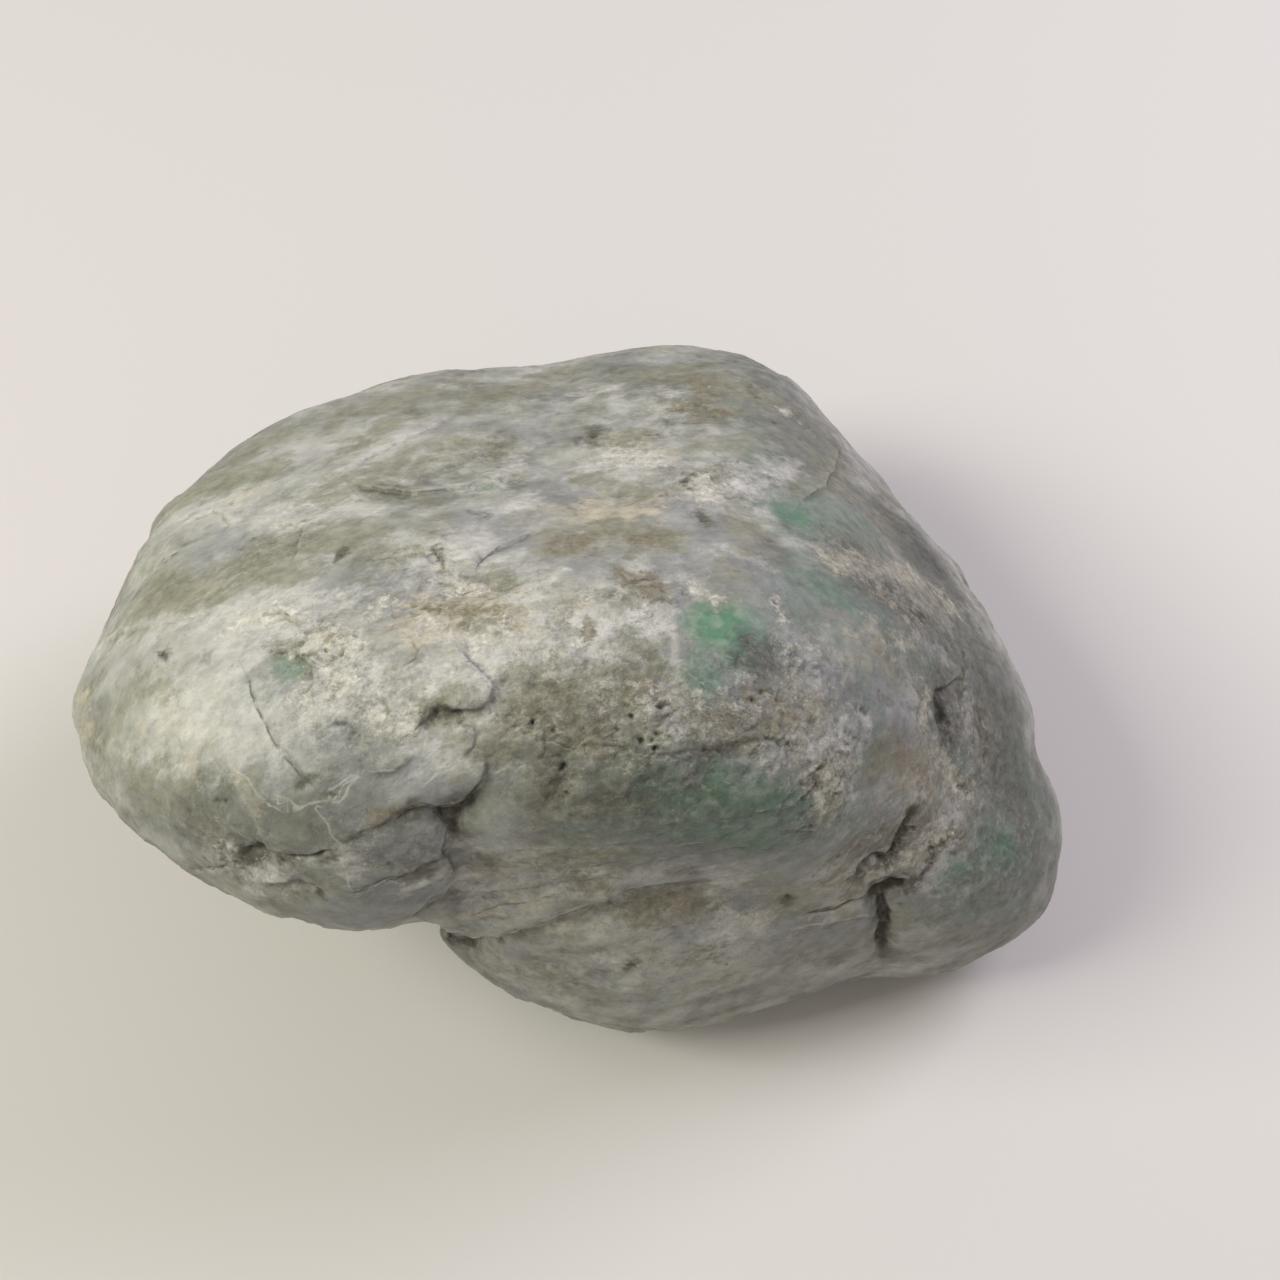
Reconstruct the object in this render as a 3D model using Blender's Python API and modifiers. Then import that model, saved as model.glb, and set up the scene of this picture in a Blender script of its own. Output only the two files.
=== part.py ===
"""A water-worn boulder of raw jadeite, one piece, at rest on the flat worn into its underside.

Metres, +Z up, +X along the stone. The origin is under the middle of its bounding box.
The side in sight is laid out from one point of sight, in front of the stone and above it:
a place is named by where it shows on a plane through the stone, and how far it stands nearer than that plane.
The far side is laid out by height and by the direction it faces.
"""

from math import cos, radians, sin

import bmesh
import bpy
import numpy as np
from mathutils import Vector, noise
from mathutils.bvhtree import BVHTree

MM = 0.001
NAME = "jade_boulder"
COLOUR = (0.38, 0.39, 0.34, 1)
ROUGHNESS = 0.55

# The point of sight, in millimetres, and the slope of the line of sight to the table.
SIGHT_SLOPE = radians(58)
SIGHT_DISTANCE = 222
SIGHT_HEIGHT = 28

# How the blocks are worn into one stone. Lengths are in millimetres.
BLOCK_GRAIN = 1.6
WEAR_STEPS = 34
SKIN_GRAIN = 0.9
FACES = 9400

# A ledge's edge is this wide, its height falls off by this power of the way out to its reach,
# and each mark starts at this part of its height and is whole this far along its path.
EDGE_WIDTH = 0.45
FALL_POWER = 1.6
END_START = 0.25
END_SHARE = 0.17
# A path of no more laid places than this is a pit, whole at its ends.
PIT_PLACES = 4

# Slow waves left in the worn skin, as (length, height), and how much longer they run along the bedding.
WAVES = [(16, 0.75), (7, 0.36), (3.4, 0.15)]
BEDDING = Vector((0.88, 0.38, 0.28)).normalized()
BEDDING_STRETCH = 2.4

RIGHT = Vector((1, 0, 0))
UP = Vector((0, sin(SIGHT_SLOPE), cos(SIGHT_SLOPE)))
NEAR = Vector((0, -cos(SIGHT_SLOPE), sin(SIGHT_SLOPE)))
SIGHT_CENTRE = Vector((0, 0, SIGHT_HEIGHT))
EYE = SIGHT_CENTRE + NEAR * SIGHT_DISTANCE

# Corners of each block before wear: those in sight, and those behind the outline, as (across, up, near),
# and those on the underside as (x, y, z).
BLOCKS = {
    "nose": {
        "seen": [
            (-71.8, -7, 20), (-67.6, 2.7, 17), (-59.5, 17.6, 4), (-50.8, 24.7, -1), (-42, 30.4, -6),
            (-27.6, 34.3, -11), (-12, 35.2, -13), (-71.8, -15, 23), (-67.2, -22, 26), (-57, -29.5, 29),
            (-47, -34.6, 31), (-37.2, -37.3, 33), (-30.2, -35.8, 35), (-60, 10, 21), (-62, -2, 32),
            (-63, -17.5, 35), (-51, -24, 42.5), (-45, 20, 14), (-45, 8, 32), (-45, -6, 44),
            (-39, -25, 47), (-28, 14, 30), (-28, -4, 47), (-28, -16, 49), (-27, -25, 46), (-18, -17, 48),
            (-15, 20, 20), (-15, 4, 43), (-15, -10, 48),
        ],
        "behind": [
            (-69.5, -8, 9), (-66, 4, 5), (-67, -17, 13), (-57.5, 15, -8), (-50, 22, -12), (-41, 27, -17),
            (-26, 32, -22), (-56, -27, 18), (-46, -32, 20), (-37, -35, 22),
        ],
        "under": [
            (-46, -12, 20), (-38, -30, 24), (-28, -38, 27), (-44, 12, 17), (-30, 26, 12), (-10, 28, 9),
        ],
    },
    "shoulder": {
        "seen": [
            (-22, 31, -12), (-4, 37.2, -16), (5, 37.9, -17), (14, 36.6, -16), (20.5, 31.8, -14),
            (33.2, 17.3, -9), (43.2, 4.2, -4), (51, -9.8, 2), (-22, 18, 19), (-5, 22, 18), (12, 24, 14),
            (24, 18, 14), (-22, 4, 42), (-5, 4, 44), (12, 4, 43), (24, 2, 37), (33, 4, 25),
            (-20, -10, 47), (-5, -12, 49), (12, -12, 48), (24, -10, 43), (35, -9, 31), (44, -10, 16),
            (-22, -21, 46), (-8, -22, 48.5), (8, -22, 47), (22, -22, 43), (33, -22, 30), (44, -24, 16),
            (-22, -30, 36), (-8, -29.5, 37), (8, -30, 35), (22, -31, 29),
        ],
        "behind": [
            (-4, 35, -27), (5, 35.6, -28), (14, 34.4, -27), (20, 30, -25), (32.5, 16.5, -20),
            (42.6, 3.6, -14), (50, -10, -8),
        ],
        "under": [
            (-8, 27, 6), (14, 29, 5), (34, 14, 4), (44, -12, 3), (10, -34, 3), (-18, -20, 4), (0, 0, -4),
            (26, 2, -3), (-34, 10, 2), (-28, 24, 8), (5, 38, 17), (-12, 35, 17), (27, 27, 14),
            (38, 12, 12),
        ],
    },
    "front_lobe": {
        "seen": [
            (-29, -35.2, 14), (-25.2, -39, 11), (-20.3, -43.4, 9), (-10, -48.3, 8), (0, -50.4, 8),
            (12, -48.4, 6), (24, -44.6, 5), (30, -42, 4), (-19, -38, 20), (-8, -42, 22), (4, -42, 22),
            (16, -40, 20), (28, -37, 16), (-14, -36, 28), (0, -36, 30), (14, -35, 28), (25, -33, 24),
        ],
        "behind": [],
        "under": [(-14, -30, -2), (0, -36, -2), (20, -30, -2), (0, 0, -2), (-14, 0, 10)],
    },
    "toe": {
        "seen": [
            (52.5, -16, 3), (53.9, -24, 3), (52.7, -32.6, 4), (47.6, -38.8, 4), (40, -42, 3),
            (31, -43, 3), (26, -41, 8), (48, -18, 12), (47, -30, 14), (40, -35, 16), (32, -38, 14),
            (41, -22, 21), (33, -28, 24), (26, -33, 24),
        ],
        "behind": [(52, -17, -5), (53, -24, -5), (52, -31, -4)],
        "under": [(46, -22, 2), (30, -30, -2), (24, -10, -2), (45, -5, 8)],
    },
    "waist": {
        "seen": [
            (-29, -36, 26), (-20, -38, 27), (-10, -37, 29), (0, -34, 31), (10, -31, 31), (-25, -29, 37),
            (0, -24, 39),
        ],
        "behind": [],
        "under": [(-20, -20, 15), (0, -20, 15), (0, -20, 40)],
    },
}

# Ledges. The skin rises to the left of the path and drops to its right, less and less out to the reach.
# Each place on a path is (across, up), and the lengths are in millimetres.
LEDGES = {
    "waist_ledge": {
        "rise": 1, "drop": 2, "reach": 6,
        "path": [
            (-28.3, -34.6), (-24.3, -36.3), (-21.4, -36.9), (-17.6, -36.9), (-15.1, -36.3),
            (-11.6, -35.1), (-7.9, -33.9), (-4.8, -32.8), (-1.3, -31.3), (2.5, -30.5), (7.5, -30),
        ],
    },
    "block_edge": {
        "rise": 0.8, "drop": 1.5, "reach": 6,
        "path": [
            (-28.6, -34.6), (-26.5, -32.9), (-24.3, -31.8), (-23.1, -29.8), (-24.5, -27.5),
            (-24.6, -25.4), (-24.3, -23.4), (-25.6, -21.8),
        ],
    },
    "scale_front": {
        "rise": 0.9, "drop": 0.9, "reach": 5,
        "path": [
            (-30.9, -22.5), (-29.3, -21), (-27.5, -20.5), (-24.9, -20.9), (-22.8, -20.4), (-21, -19.1),
            (-19.6, -18), (-19.5, -16.4),
        ],
    },
    "scale_middle": {
        "rise": 0.8, "drop": 0.6, "reach": 5,
        "path": [
            (-28.5, -10), (-25, -8.3), (-21.6, -8.6), (-20.1, -8.5), (-18.9, -7.6), (-18.4, -6),
            (-20.1, -4), (-21.4, -2.9), (-22.4, -1.3),
        ],
    },
    "scale_lower": {
        "rise": 0.5, "drop": 0.3, "reach": 3,
        "path": [(-21.6, -14.4), (-21, -13.3), (-20.8, -11.8), (-21, -11), (-23.3, -9.6)],
    },
    "upper_ledge": {
        "rise": 0.6, "drop": 0.5, "reach": 5,
        "path": [(-36, 18.6), (-34.3, 19.1), (-28, 18.4), (-24.1, 19), (-20.9, 19.6), (-17, 20)],
    },
    "upper_bed": {
        "rise": 0.4, "drop": 0.4, "reach": 4,
        "path": [(-35.9, 20.9), (-34.3, 23.1), (-29.9, 25.6), (-25.4, 26.9), (-23.1, 28.3)],
    },
    "flake_bed": {
        "rise": 0.4, "drop": 0.3, "reach": 3,
        "path": [(-26.5, 7.8), (-24.8, 7.5), (-21.5, 6.6), (-19.8, 6.9), (-17, 8)],
    },
    "crust_bed": {
        "rise": 0.4, "drop": 0.3, "reach": 4,
        "path": [(-50, -1.8), (-43.8, 0), (-38.8, 1.5), (-33.8, 3.5)],
    },
    "nose_ledge": {
        "rise": 0.5, "drop": 0.5, "reach": 3,
        "path": [(-57, -28), (-52.6, -28.5), (-50, -28), (-48, -25.7), (-46.4, -25.8)],
    },
    "nose_rim": {
        "rise": 0.4, "drop": 0.4, "reach": 2.5,
        "path": [(-36.1, -31.5), (-31.6, -29.9), (-29.8, -30.4), (-28, -28.8), (-25.4, -27.8)],
    },
    "front_edge": {
        "rise": 0.3, "drop": 0.3, "reach": 3,
        "path": [
            (-11.5, -12.6), (-8.4, -13.6), (-3.9, -13.5), (-1, -14.4), (1.8, -14.4), (7.5, -14),
            (13.1, -13.4), (18.8, -12.1),
        ],
    },
    "toe_crest": {
        "rise": 0.7, "drop": 0.3, "reach": 4,
        "path": [(27.3, -30), (30, -29.8), (32.5, -29), (35.6, -27.5), (38.8, -25.6), (41.5, -23)],
    },
}

# Grooves and pits, and ridges, whose depth is below zero.
GROOVES = {
    "notch_hollow": {"depth": 1, "half_width": 1.2, "path": [(-26.5, -36.6), (-23.5, -37.5), (-20, -37.9)]},
    "scale_hollow": {
        "depth": 1.5, "half_width": 1.5,
        "path": [(-24.9, -21.9), (-23.1, -21.9), (-21.5, -20.9), (-20, -19.4)],
    },
    "scale_gap": {"depth": 1.1, "half_width": 0.9, "path": [(-23.4, -22.5), (-23.4, -24.8)]},
    "middle_hollow": {"depth": 1.2, "half_width": 1.2, "path": [(-27, -9.8), (-24.4, -9.6), (-22.2, -9.7)]},
    "front_groove": {
        "depth": 0.9, "half_width": 1.1,
        "path": [(-9.4, -13.9), (-9.9, -16), (-10, -18), (-11.4, -20.1), (-12.9, -20.6)],
    },
    "crystal_pit": {"depth": 1.5, "half_width": 1.2, "path": [(-49.3, -26.5), (-46.9, -26.6)]},
    "nose_slit": {
        "depth": 0.9, "half_width": 0.7,
        "path": [(-44.5, -27.1), (-42.5, -26.9), (-40, -26.8), (-38, -26.5)],
    },
    "white_lip": {"depth": -0.7, "half_width": 1, "path": [(-48.6, -30.1), (-46.5, -29.8), (-43.5, -29.6)]},
    "lip_hollow": {"depth": 0.9, "half_width": 0.9, "path": [(-44.8, -31.2), (-42.5, -31), (-40, -31.4)]},
    "rim_hollow": {"depth": 1.1, "half_width": 1, "path": [(-27.8, -29.4), (-25.8, -28.4)]},
    "bed_crack": {"depth": 0.5, "half_width": 0.8, "path": [(-20.3, 9.4), (-18.4, 11.3), (-13.9, 13.5)]},
    "right_crack": {
        "depth": 1.3, "half_width": 0.9,
        "path": [
            (34.1, -21.6), (33.5, -22.6), (32.9, -24.1), (32.3, -25.1), (31.6, -26.4), (30.6, -27.3),
            (29.1, -27), (28.1, -28), (27.3, -29.1),
        ],
    },
    "toe_split": {
        "depth": 1.5, "half_width": 1.1,
        "path": [(28.4, -31.8), (30, -31.1), (31.6, -30.6), (33.5, -30.8)],
    },
    "toe_slit": {
        "depth": 2, "half_width": 1.1,
        "path": [(30, -31.1), (30.1, -33.3), (30.6, -35.8), (30.1, -37.4), (30.4, -39.5)],
    },
    "toe_seam": {
        "depth": 0.6, "half_width": 0.8,
        "path": [(18, -34.6), (21.3, -33.9), (24.4, -33.3), (26.4, -32.3), (28.5, -32)],
    },
    "toe_line": {
        "depth": -0.35, "half_width": 1,
        "path": [(13.3, -37.1), (21.3, -36.1), (24.9, -35.3), (29, -34.6)],
    },
    "right_recess": {"depth": 1.1, "half_width": 1.8, "path": [(37.2, -6.8), (37.8, -9), (38.3, -11.2)]},
    "right_line": {
        "depth": -0.5, "half_width": 0.9,
        "path": [(40.3, -1.1), (40.8, -3.3), (40.6, -5.1), (40.9, -7.3), (40.8, -9.4)],
    },
    "shoulder_crack": {
        "depth": 0.6, "half_width": 0.8,
        "path": [(13.9, -21.4), (19.1, -21), (21.6, -18), (22, -16.3)],
    },
    "front_pit": {"depth": 0.7, "half_width": 0.9, "path": [(-1, -40.5), (-0.8, -40.6)]},
    "top_chip": {"depth": 0.7, "half_width": 1.4, "path": [(28.2, -8.9), (28.6, -9.3)]},
}

# The same on the far side. Each place on a path is (direction it faces, in degrees from the front, height).
FAR_LEDGES = {
    "far_ledge": {
        "rise": 0.8, "drop": 1, "reach": 7,
        "path": [(118, 19), (135, 23), (152, 22), (168, 26), (184, 25), (200, 29), (212, 30)],
    },
    "far_bed": {"rise": 0.6, "drop": 0.7, "reach": 5, "path": [(200, 20), (212, 23), (226, 22), (242, 27)]},
    "far_scale": {
        "rise": 0.6, "drop": 0.5, "reach": 4,
        "path": [(150, 10), (160, 14), (172, 13), (182, 9)],
    },
}
FAR_GROOVES = {
    "far_crack": {
        "depth": 0.9, "half_width": 0.9,
        "path": [(172, 31), (170, 27), (173, 23), (169, 18), (171, 12)],
    },
    "far_hollow": {"depth": 1.2, "half_width": 4, "path": [(214, 33), (220, 32)]},
    "far_pit": {"depth": 1.1, "half_width": 1.8, "path": [(139, 16), (141, 15.6)]},
    "side_pit": {"depth": 0.8, "half_width": 1.6, "path": [(94, 13), (96, 13.4)]},
    "side_crack": {"depth": 0.7, "half_width": 0.8, "path": [(108, 23), (112, 18), (109, 12)]},
}


def clear_scene():
    for thing in list(bpy.data.objects):
        bpy.data.objects.remove(thing)


def on_sight_plane(across, up):
    return SIGHT_CENTRE + RIGHT * across + UP * up


def seen(across, up, near):
    """The point, in millimetres, that shows at (across, up) and stands this much nearer than that plane."""
    return EYE + (on_sight_plane(across, up) - EYE) * ((SIGHT_DISTANCE - near) / SIGHT_DISTANCE)


def add_hull(shape, corners):
    """Adds the convex block over these corners, in metres."""
    points = [shape.verts.new(corner * MM) for corner in corners]
    made = bmesh.ops.convex_hull(shape, input=points)
    loose = {v for v in made["geom_interior"] + made["geom_unused"] if isinstance(v, bmesh.types.BMVert)}
    bmesh.ops.delete(shape, geom=list(loose), context="VERTS")


def rough_stone(collection):
    """All the blocks in one object, before they are joined and worn."""
    shape = bmesh.new()
    for block in BLOCKS.values():
        corners = [seen(*place) for place in block["seen"] + block["behind"]]
        corners += [Vector(place) for place in block["under"]]
        add_hull(shape, corners)
    mesh = bpy.data.meshes.new(NAME)
    shape.to_mesh(mesh)
    shape.free()
    stone = bpy.data.objects.new(NAME, mesh)
    collection.objects.link(stone)
    return stone


def add_remesh(stone, grain):
    remesh = stone.modifiers.new("skin", "REMESH")
    remesh.mode = "VOXEL"
    remesh.voxel_size = grain * MM


def apply_modifiers(stone):
    """Puts the mesh as its modifiers leave it in place of the object's own."""
    evaluated = stone.evaluated_get(bpy.context.evaluated_depsgraph_get())
    finished = bpy.data.meshes.new_from_object(evaluated)
    stone.modifiers.clear()
    spent = stone.data
    stone.data = finished
    bpy.data.meshes.remove(spent)


def wear(stone):
    """Joins the blocks and rounds them, as a river does."""
    add_remesh(stone, BLOCK_GRAIN)
    rounding = stone.modifiers.new("rounding", "SMOOTH")
    rounding.factor = 0.5
    rounding.iterations = WEAR_STEPS
    add_remesh(stone, SKIN_GRAIN)
    settling = stone.modifiers.new("settling", "SMOOTH")
    settling.iterations = 4
    apply_modifiers(stone)


def read_points(mesh, attribute):
    values = np.empty(len(mesh.vertices) * 3)
    mesh.vertices.foreach_get(attribute, values)
    return values.reshape(-1, 3)


def evenly_along(path, spacing=0.5):
    """The path's own places, with others between them at about this spacing."""
    places = []
    for start, end in zip(path, path[1:]):
        start, end = np.array(start), np.array(end)
        steps = max(1, int(np.linalg.norm(end - start) / spacing))
        places += [start + (end - start) * step / steps for step in range(steps)]
    return places + [np.array(path[-1])]


def lay_in_sight(skin, path):
    """The path laid on the skin by the line of sight, in millimetres."""
    laid = []
    for across, up in evenly_along(path):
        way = on_sight_plane(across, up) - EYE
        hit = skin.ray_cast(EYE, way)[0]
        if hit:
            laid.append(hit)
    return np.array(laid)


def lay_around(skin, path):
    """The path laid on the skin from outside, by the direction and the height of each place."""
    laid = []
    for facing, height in evenly_along(path, 1.0):
        outwards = Vector((sin(radians(facing)), -cos(radians(facing)), 0))
        hit = skin.ray_cast(Vector((0, 0, height)) + outwards * SIGHT_DISTANCE, -outwards)[0]
        if hit:
            laid.append(hit)
    return np.array(laid)


def nearest_on(laid, points):
    """For each point: the step to it from the nearest place on the path, and the place's number."""
    near = np.full(len(points), np.inf)
    number = np.zeros(len(points), dtype=int)
    for place, position in enumerate(laid):
        distance = np.linalg.norm(points - position, axis=1)
        closer = distance < near
        near[closer] = distance[closer]
        number[closer] = place
    return points - laid[number], near, number


def fade_at_ends(number, count):
    """One along the path, falling to nothing at its two ends."""
    along = number / max(1, count - 1)
    return np.clip(np.minimum(along, 1 - along) / END_SHARE + END_START, 0, 1)


def ledge_shift(laid, points, normals, ledge):
    steps, near, number = nearest_on(laid, points)
    course = np.gradient(laid, axis=0)
    course /= np.linalg.norm(course, axis=1)[:, None]
    left = np.cross(normals, course[number])
    aside = np.einsum("ij,ij->i", steps, left)
    falling = np.clip(1 - near / ledge["reach"], 0, 1) ** FALL_POWER
    edge = np.tanh(aside / EDGE_WIDTH)
    height = np.where(edge > 0, edge * ledge["rise"], edge * ledge["drop"])
    return height * falling * fade_at_ends(number, len(laid))


def groove_shift(laid, points, groove):
    near, number = nearest_on(laid, points)[1:]
    fade = fade_at_ends(number, len(laid)) if len(laid) > PIT_PLACES else 1
    return -groove["depth"] * np.exp(-((near / groove["half_width"]) ** 2)) * fade


def wave_shift(points):
    """Slow waves in the skin, longer along the bedding than across it."""
    shift = np.zeros(len(points))
    for index, point in enumerate(points):
        place = Vector(point)
        along = place.dot(BEDDING)
        place -= BEDDING * along * (1 - 1 / BEDDING_STRETCH)
        shift[index] = sum(noise.noise(place / length) * height for length, height in WAVES)
    return shift


def carve(stone):
    """Moves the skin in and out: waves, ledges, cracks, pits and ridges."""
    mesh = stone.data
    points = read_points(mesh, "co") / MM
    normals = read_points(mesh, "normal")
    faces = [face.vertices for face in mesh.polygons]
    skin = BVHTree.FromPolygons([Vector(point) for point in points], faces)
    shift = wave_shift(points)
    for lay, ledges, grooves in ((lay_in_sight, LEDGES, GROOVES), (lay_around, FAR_LEDGES, FAR_GROOVES)):
        for ledge in ledges.values():
            shift += ledge_shift(lay(skin, ledge["path"]), points, normals, ledge)
        for groove in grooves.values():
            shift += groove_shift(lay(skin, groove["path"]), points, groove)
    points += normals * shift[:, None]
    mesh.vertices.foreach_set("co", (points * MM).ravel())
    mesh.update()


def thin(stone):
    """Leaves the faces where the skin bends most."""
    triangles = sum(len(face.vertices) - 2 for face in stone.data.polygons)
    collapse = stone.modifiers.new("thin", "DECIMATE")
    collapse.ratio = FACES / triangles
    apply_modifiers(stone)


def cut_foot(stone):
    """Cuts the flat that the stone rests on, at height zero."""
    shape = bmesh.new()
    shape.from_mesh(stone.data)
    everything = shape.verts[:] + shape.edges[:] + shape.faces[:]
    cut = bmesh.ops.bisect_plane(
        shape, geom=everything, dist=0.05 * MM, plane_co=(0, 0, 0), plane_no=(0, 0, -1), clear_outer=True
    )
    rim = [edge for edge in cut["geom_cut"] if isinstance(edge, bmesh.types.BMEdge)]
    bmesh.ops.holes_fill(shape, edges=rim)
    for corner in shape.verts:
        if abs(corner.co.z) < 0.06 * MM:
            corner.co.z = 0
    bmesh.ops.triangulate(shape, faces=shape.faces[:])
    bmesh.ops.recalc_face_normals(shape, faces=shape.faces[:])
    shape.to_mesh(stone.data)
    shape.free()


def centre(stone):
    """Stands the stone with the middle of its bounding box over the origin."""
    points = read_points(stone.data, "co")
    middle = (points.min(axis=0) + points.max(axis=0)) / 2
    points -= (middle[0], middle[1], 0)
    stone.data.vertices.foreach_set("co", points.ravel())
    stone.data.update()


def jadeite():
    material = bpy.data.materials.new("raw_jadeite")
    material.use_nodes = True
    shader = material.node_tree.nodes["Principled BSDF"]
    shader.inputs["Base Color"].default_value = COLOUR
    shader.inputs["Roughness"].default_value = ROUGHNESS
    return material


def main():
    clear_scene()
    collection = bpy.data.collections.new(NAME)
    bpy.context.scene.collection.children.link(collection)
    stone = rough_stone(collection)
    wear(stone)
    carve(stone)
    thin(stone)
    cut_foot(stone)
    centre(stone)
    stone.data.materials.append(jadeite())
    stone.data.shade_smooth()


main()
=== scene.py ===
import bpy
import numpy as np
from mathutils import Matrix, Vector, noise
from mathutils.bvhtree import BVHTree


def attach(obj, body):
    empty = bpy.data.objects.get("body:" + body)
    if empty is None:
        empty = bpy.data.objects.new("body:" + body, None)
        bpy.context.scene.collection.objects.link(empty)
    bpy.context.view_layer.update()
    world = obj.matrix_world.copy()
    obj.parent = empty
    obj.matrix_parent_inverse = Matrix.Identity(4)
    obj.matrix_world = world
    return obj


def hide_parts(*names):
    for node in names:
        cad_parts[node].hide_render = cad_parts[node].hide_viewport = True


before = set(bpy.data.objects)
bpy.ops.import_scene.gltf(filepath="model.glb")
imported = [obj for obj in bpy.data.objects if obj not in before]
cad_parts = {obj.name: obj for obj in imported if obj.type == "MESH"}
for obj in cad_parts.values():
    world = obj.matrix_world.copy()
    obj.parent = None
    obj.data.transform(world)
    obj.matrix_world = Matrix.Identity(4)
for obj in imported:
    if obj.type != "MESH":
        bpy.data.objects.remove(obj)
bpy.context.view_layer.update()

mm = 0.001

# The camera stands close above the front of the stone. Marks on the side it sees are placed as
# (across, down) in pixels of its 1280 frame, and are then laid on the stone's skin.
view = {
    "eye": Vector((6.4045, -119.0271, 216.2667)),  # mm
    "centre": Vector((6.4045, -1.3851, 28.0)),
    "frame": 1280,
    "pxPerMm": 8,  # on the plane through the centre
    "sensor": 36,
}
viewWay = (view["centre"] - view["eye"]).normalized()
viewRight = Vector((1, 0, 0))
viewUp = viewRight.cross(viewWay)


# sRGB hex to linear.
def linear(hexColour):
    parts = [int(hexColour[i:i + 2], 16) / 255 for i in (1, 3, 5)]
    return [p / 12.92 if p <= 0.04045 else ((p + 0.055) / 1.055) ** 2.4 for p in parts]


stoneShape = {
    "grain": 0.76,  # mm, of the first remesh
    "wear": 12,  # smoothing steps that take off the CAD facets
    "fineReach": 1.3,  # mm either side of a step, crack or hairline where the mesh is finer
    "triangles": 195000,
    "bedding": Vector((0.88, 0.38, 0.28)).normalized(),  # the way the rock is foliated
    "beddingStretch": 1.8,
    "footFade": 2.0,  # mm above the table over which the relief fades out
    "swell": (9, 0.24),  # lump size and height in mm, here and below
    "dimple": (2.4, 0.07),
    "crumb": (0.8, 0.07),  # real grains are finer, and are drawn as coarse as the mesh can hold
    "chips": ((2.6, 0.10), (1.3, 0.08)),
    "flaked": 22,  # mm, size of the areas where the skin has flaked
    "terrace": (7, 4),  # lump size in mm, and how many levels
    "clot": (1.05, 0.22, 0.3),  # crystal size, least height, and how much more, in mm
    "flakeEdge": 0.16,  # mm, how soft the edge of a flake is
    "crack": (24, 0.55, 0.013),  # on the hidden sides: run and depth in mm, and how thin
    "pit": (6, 0.55),  # on the hidden sides: gap and depth in mm
}

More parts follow.
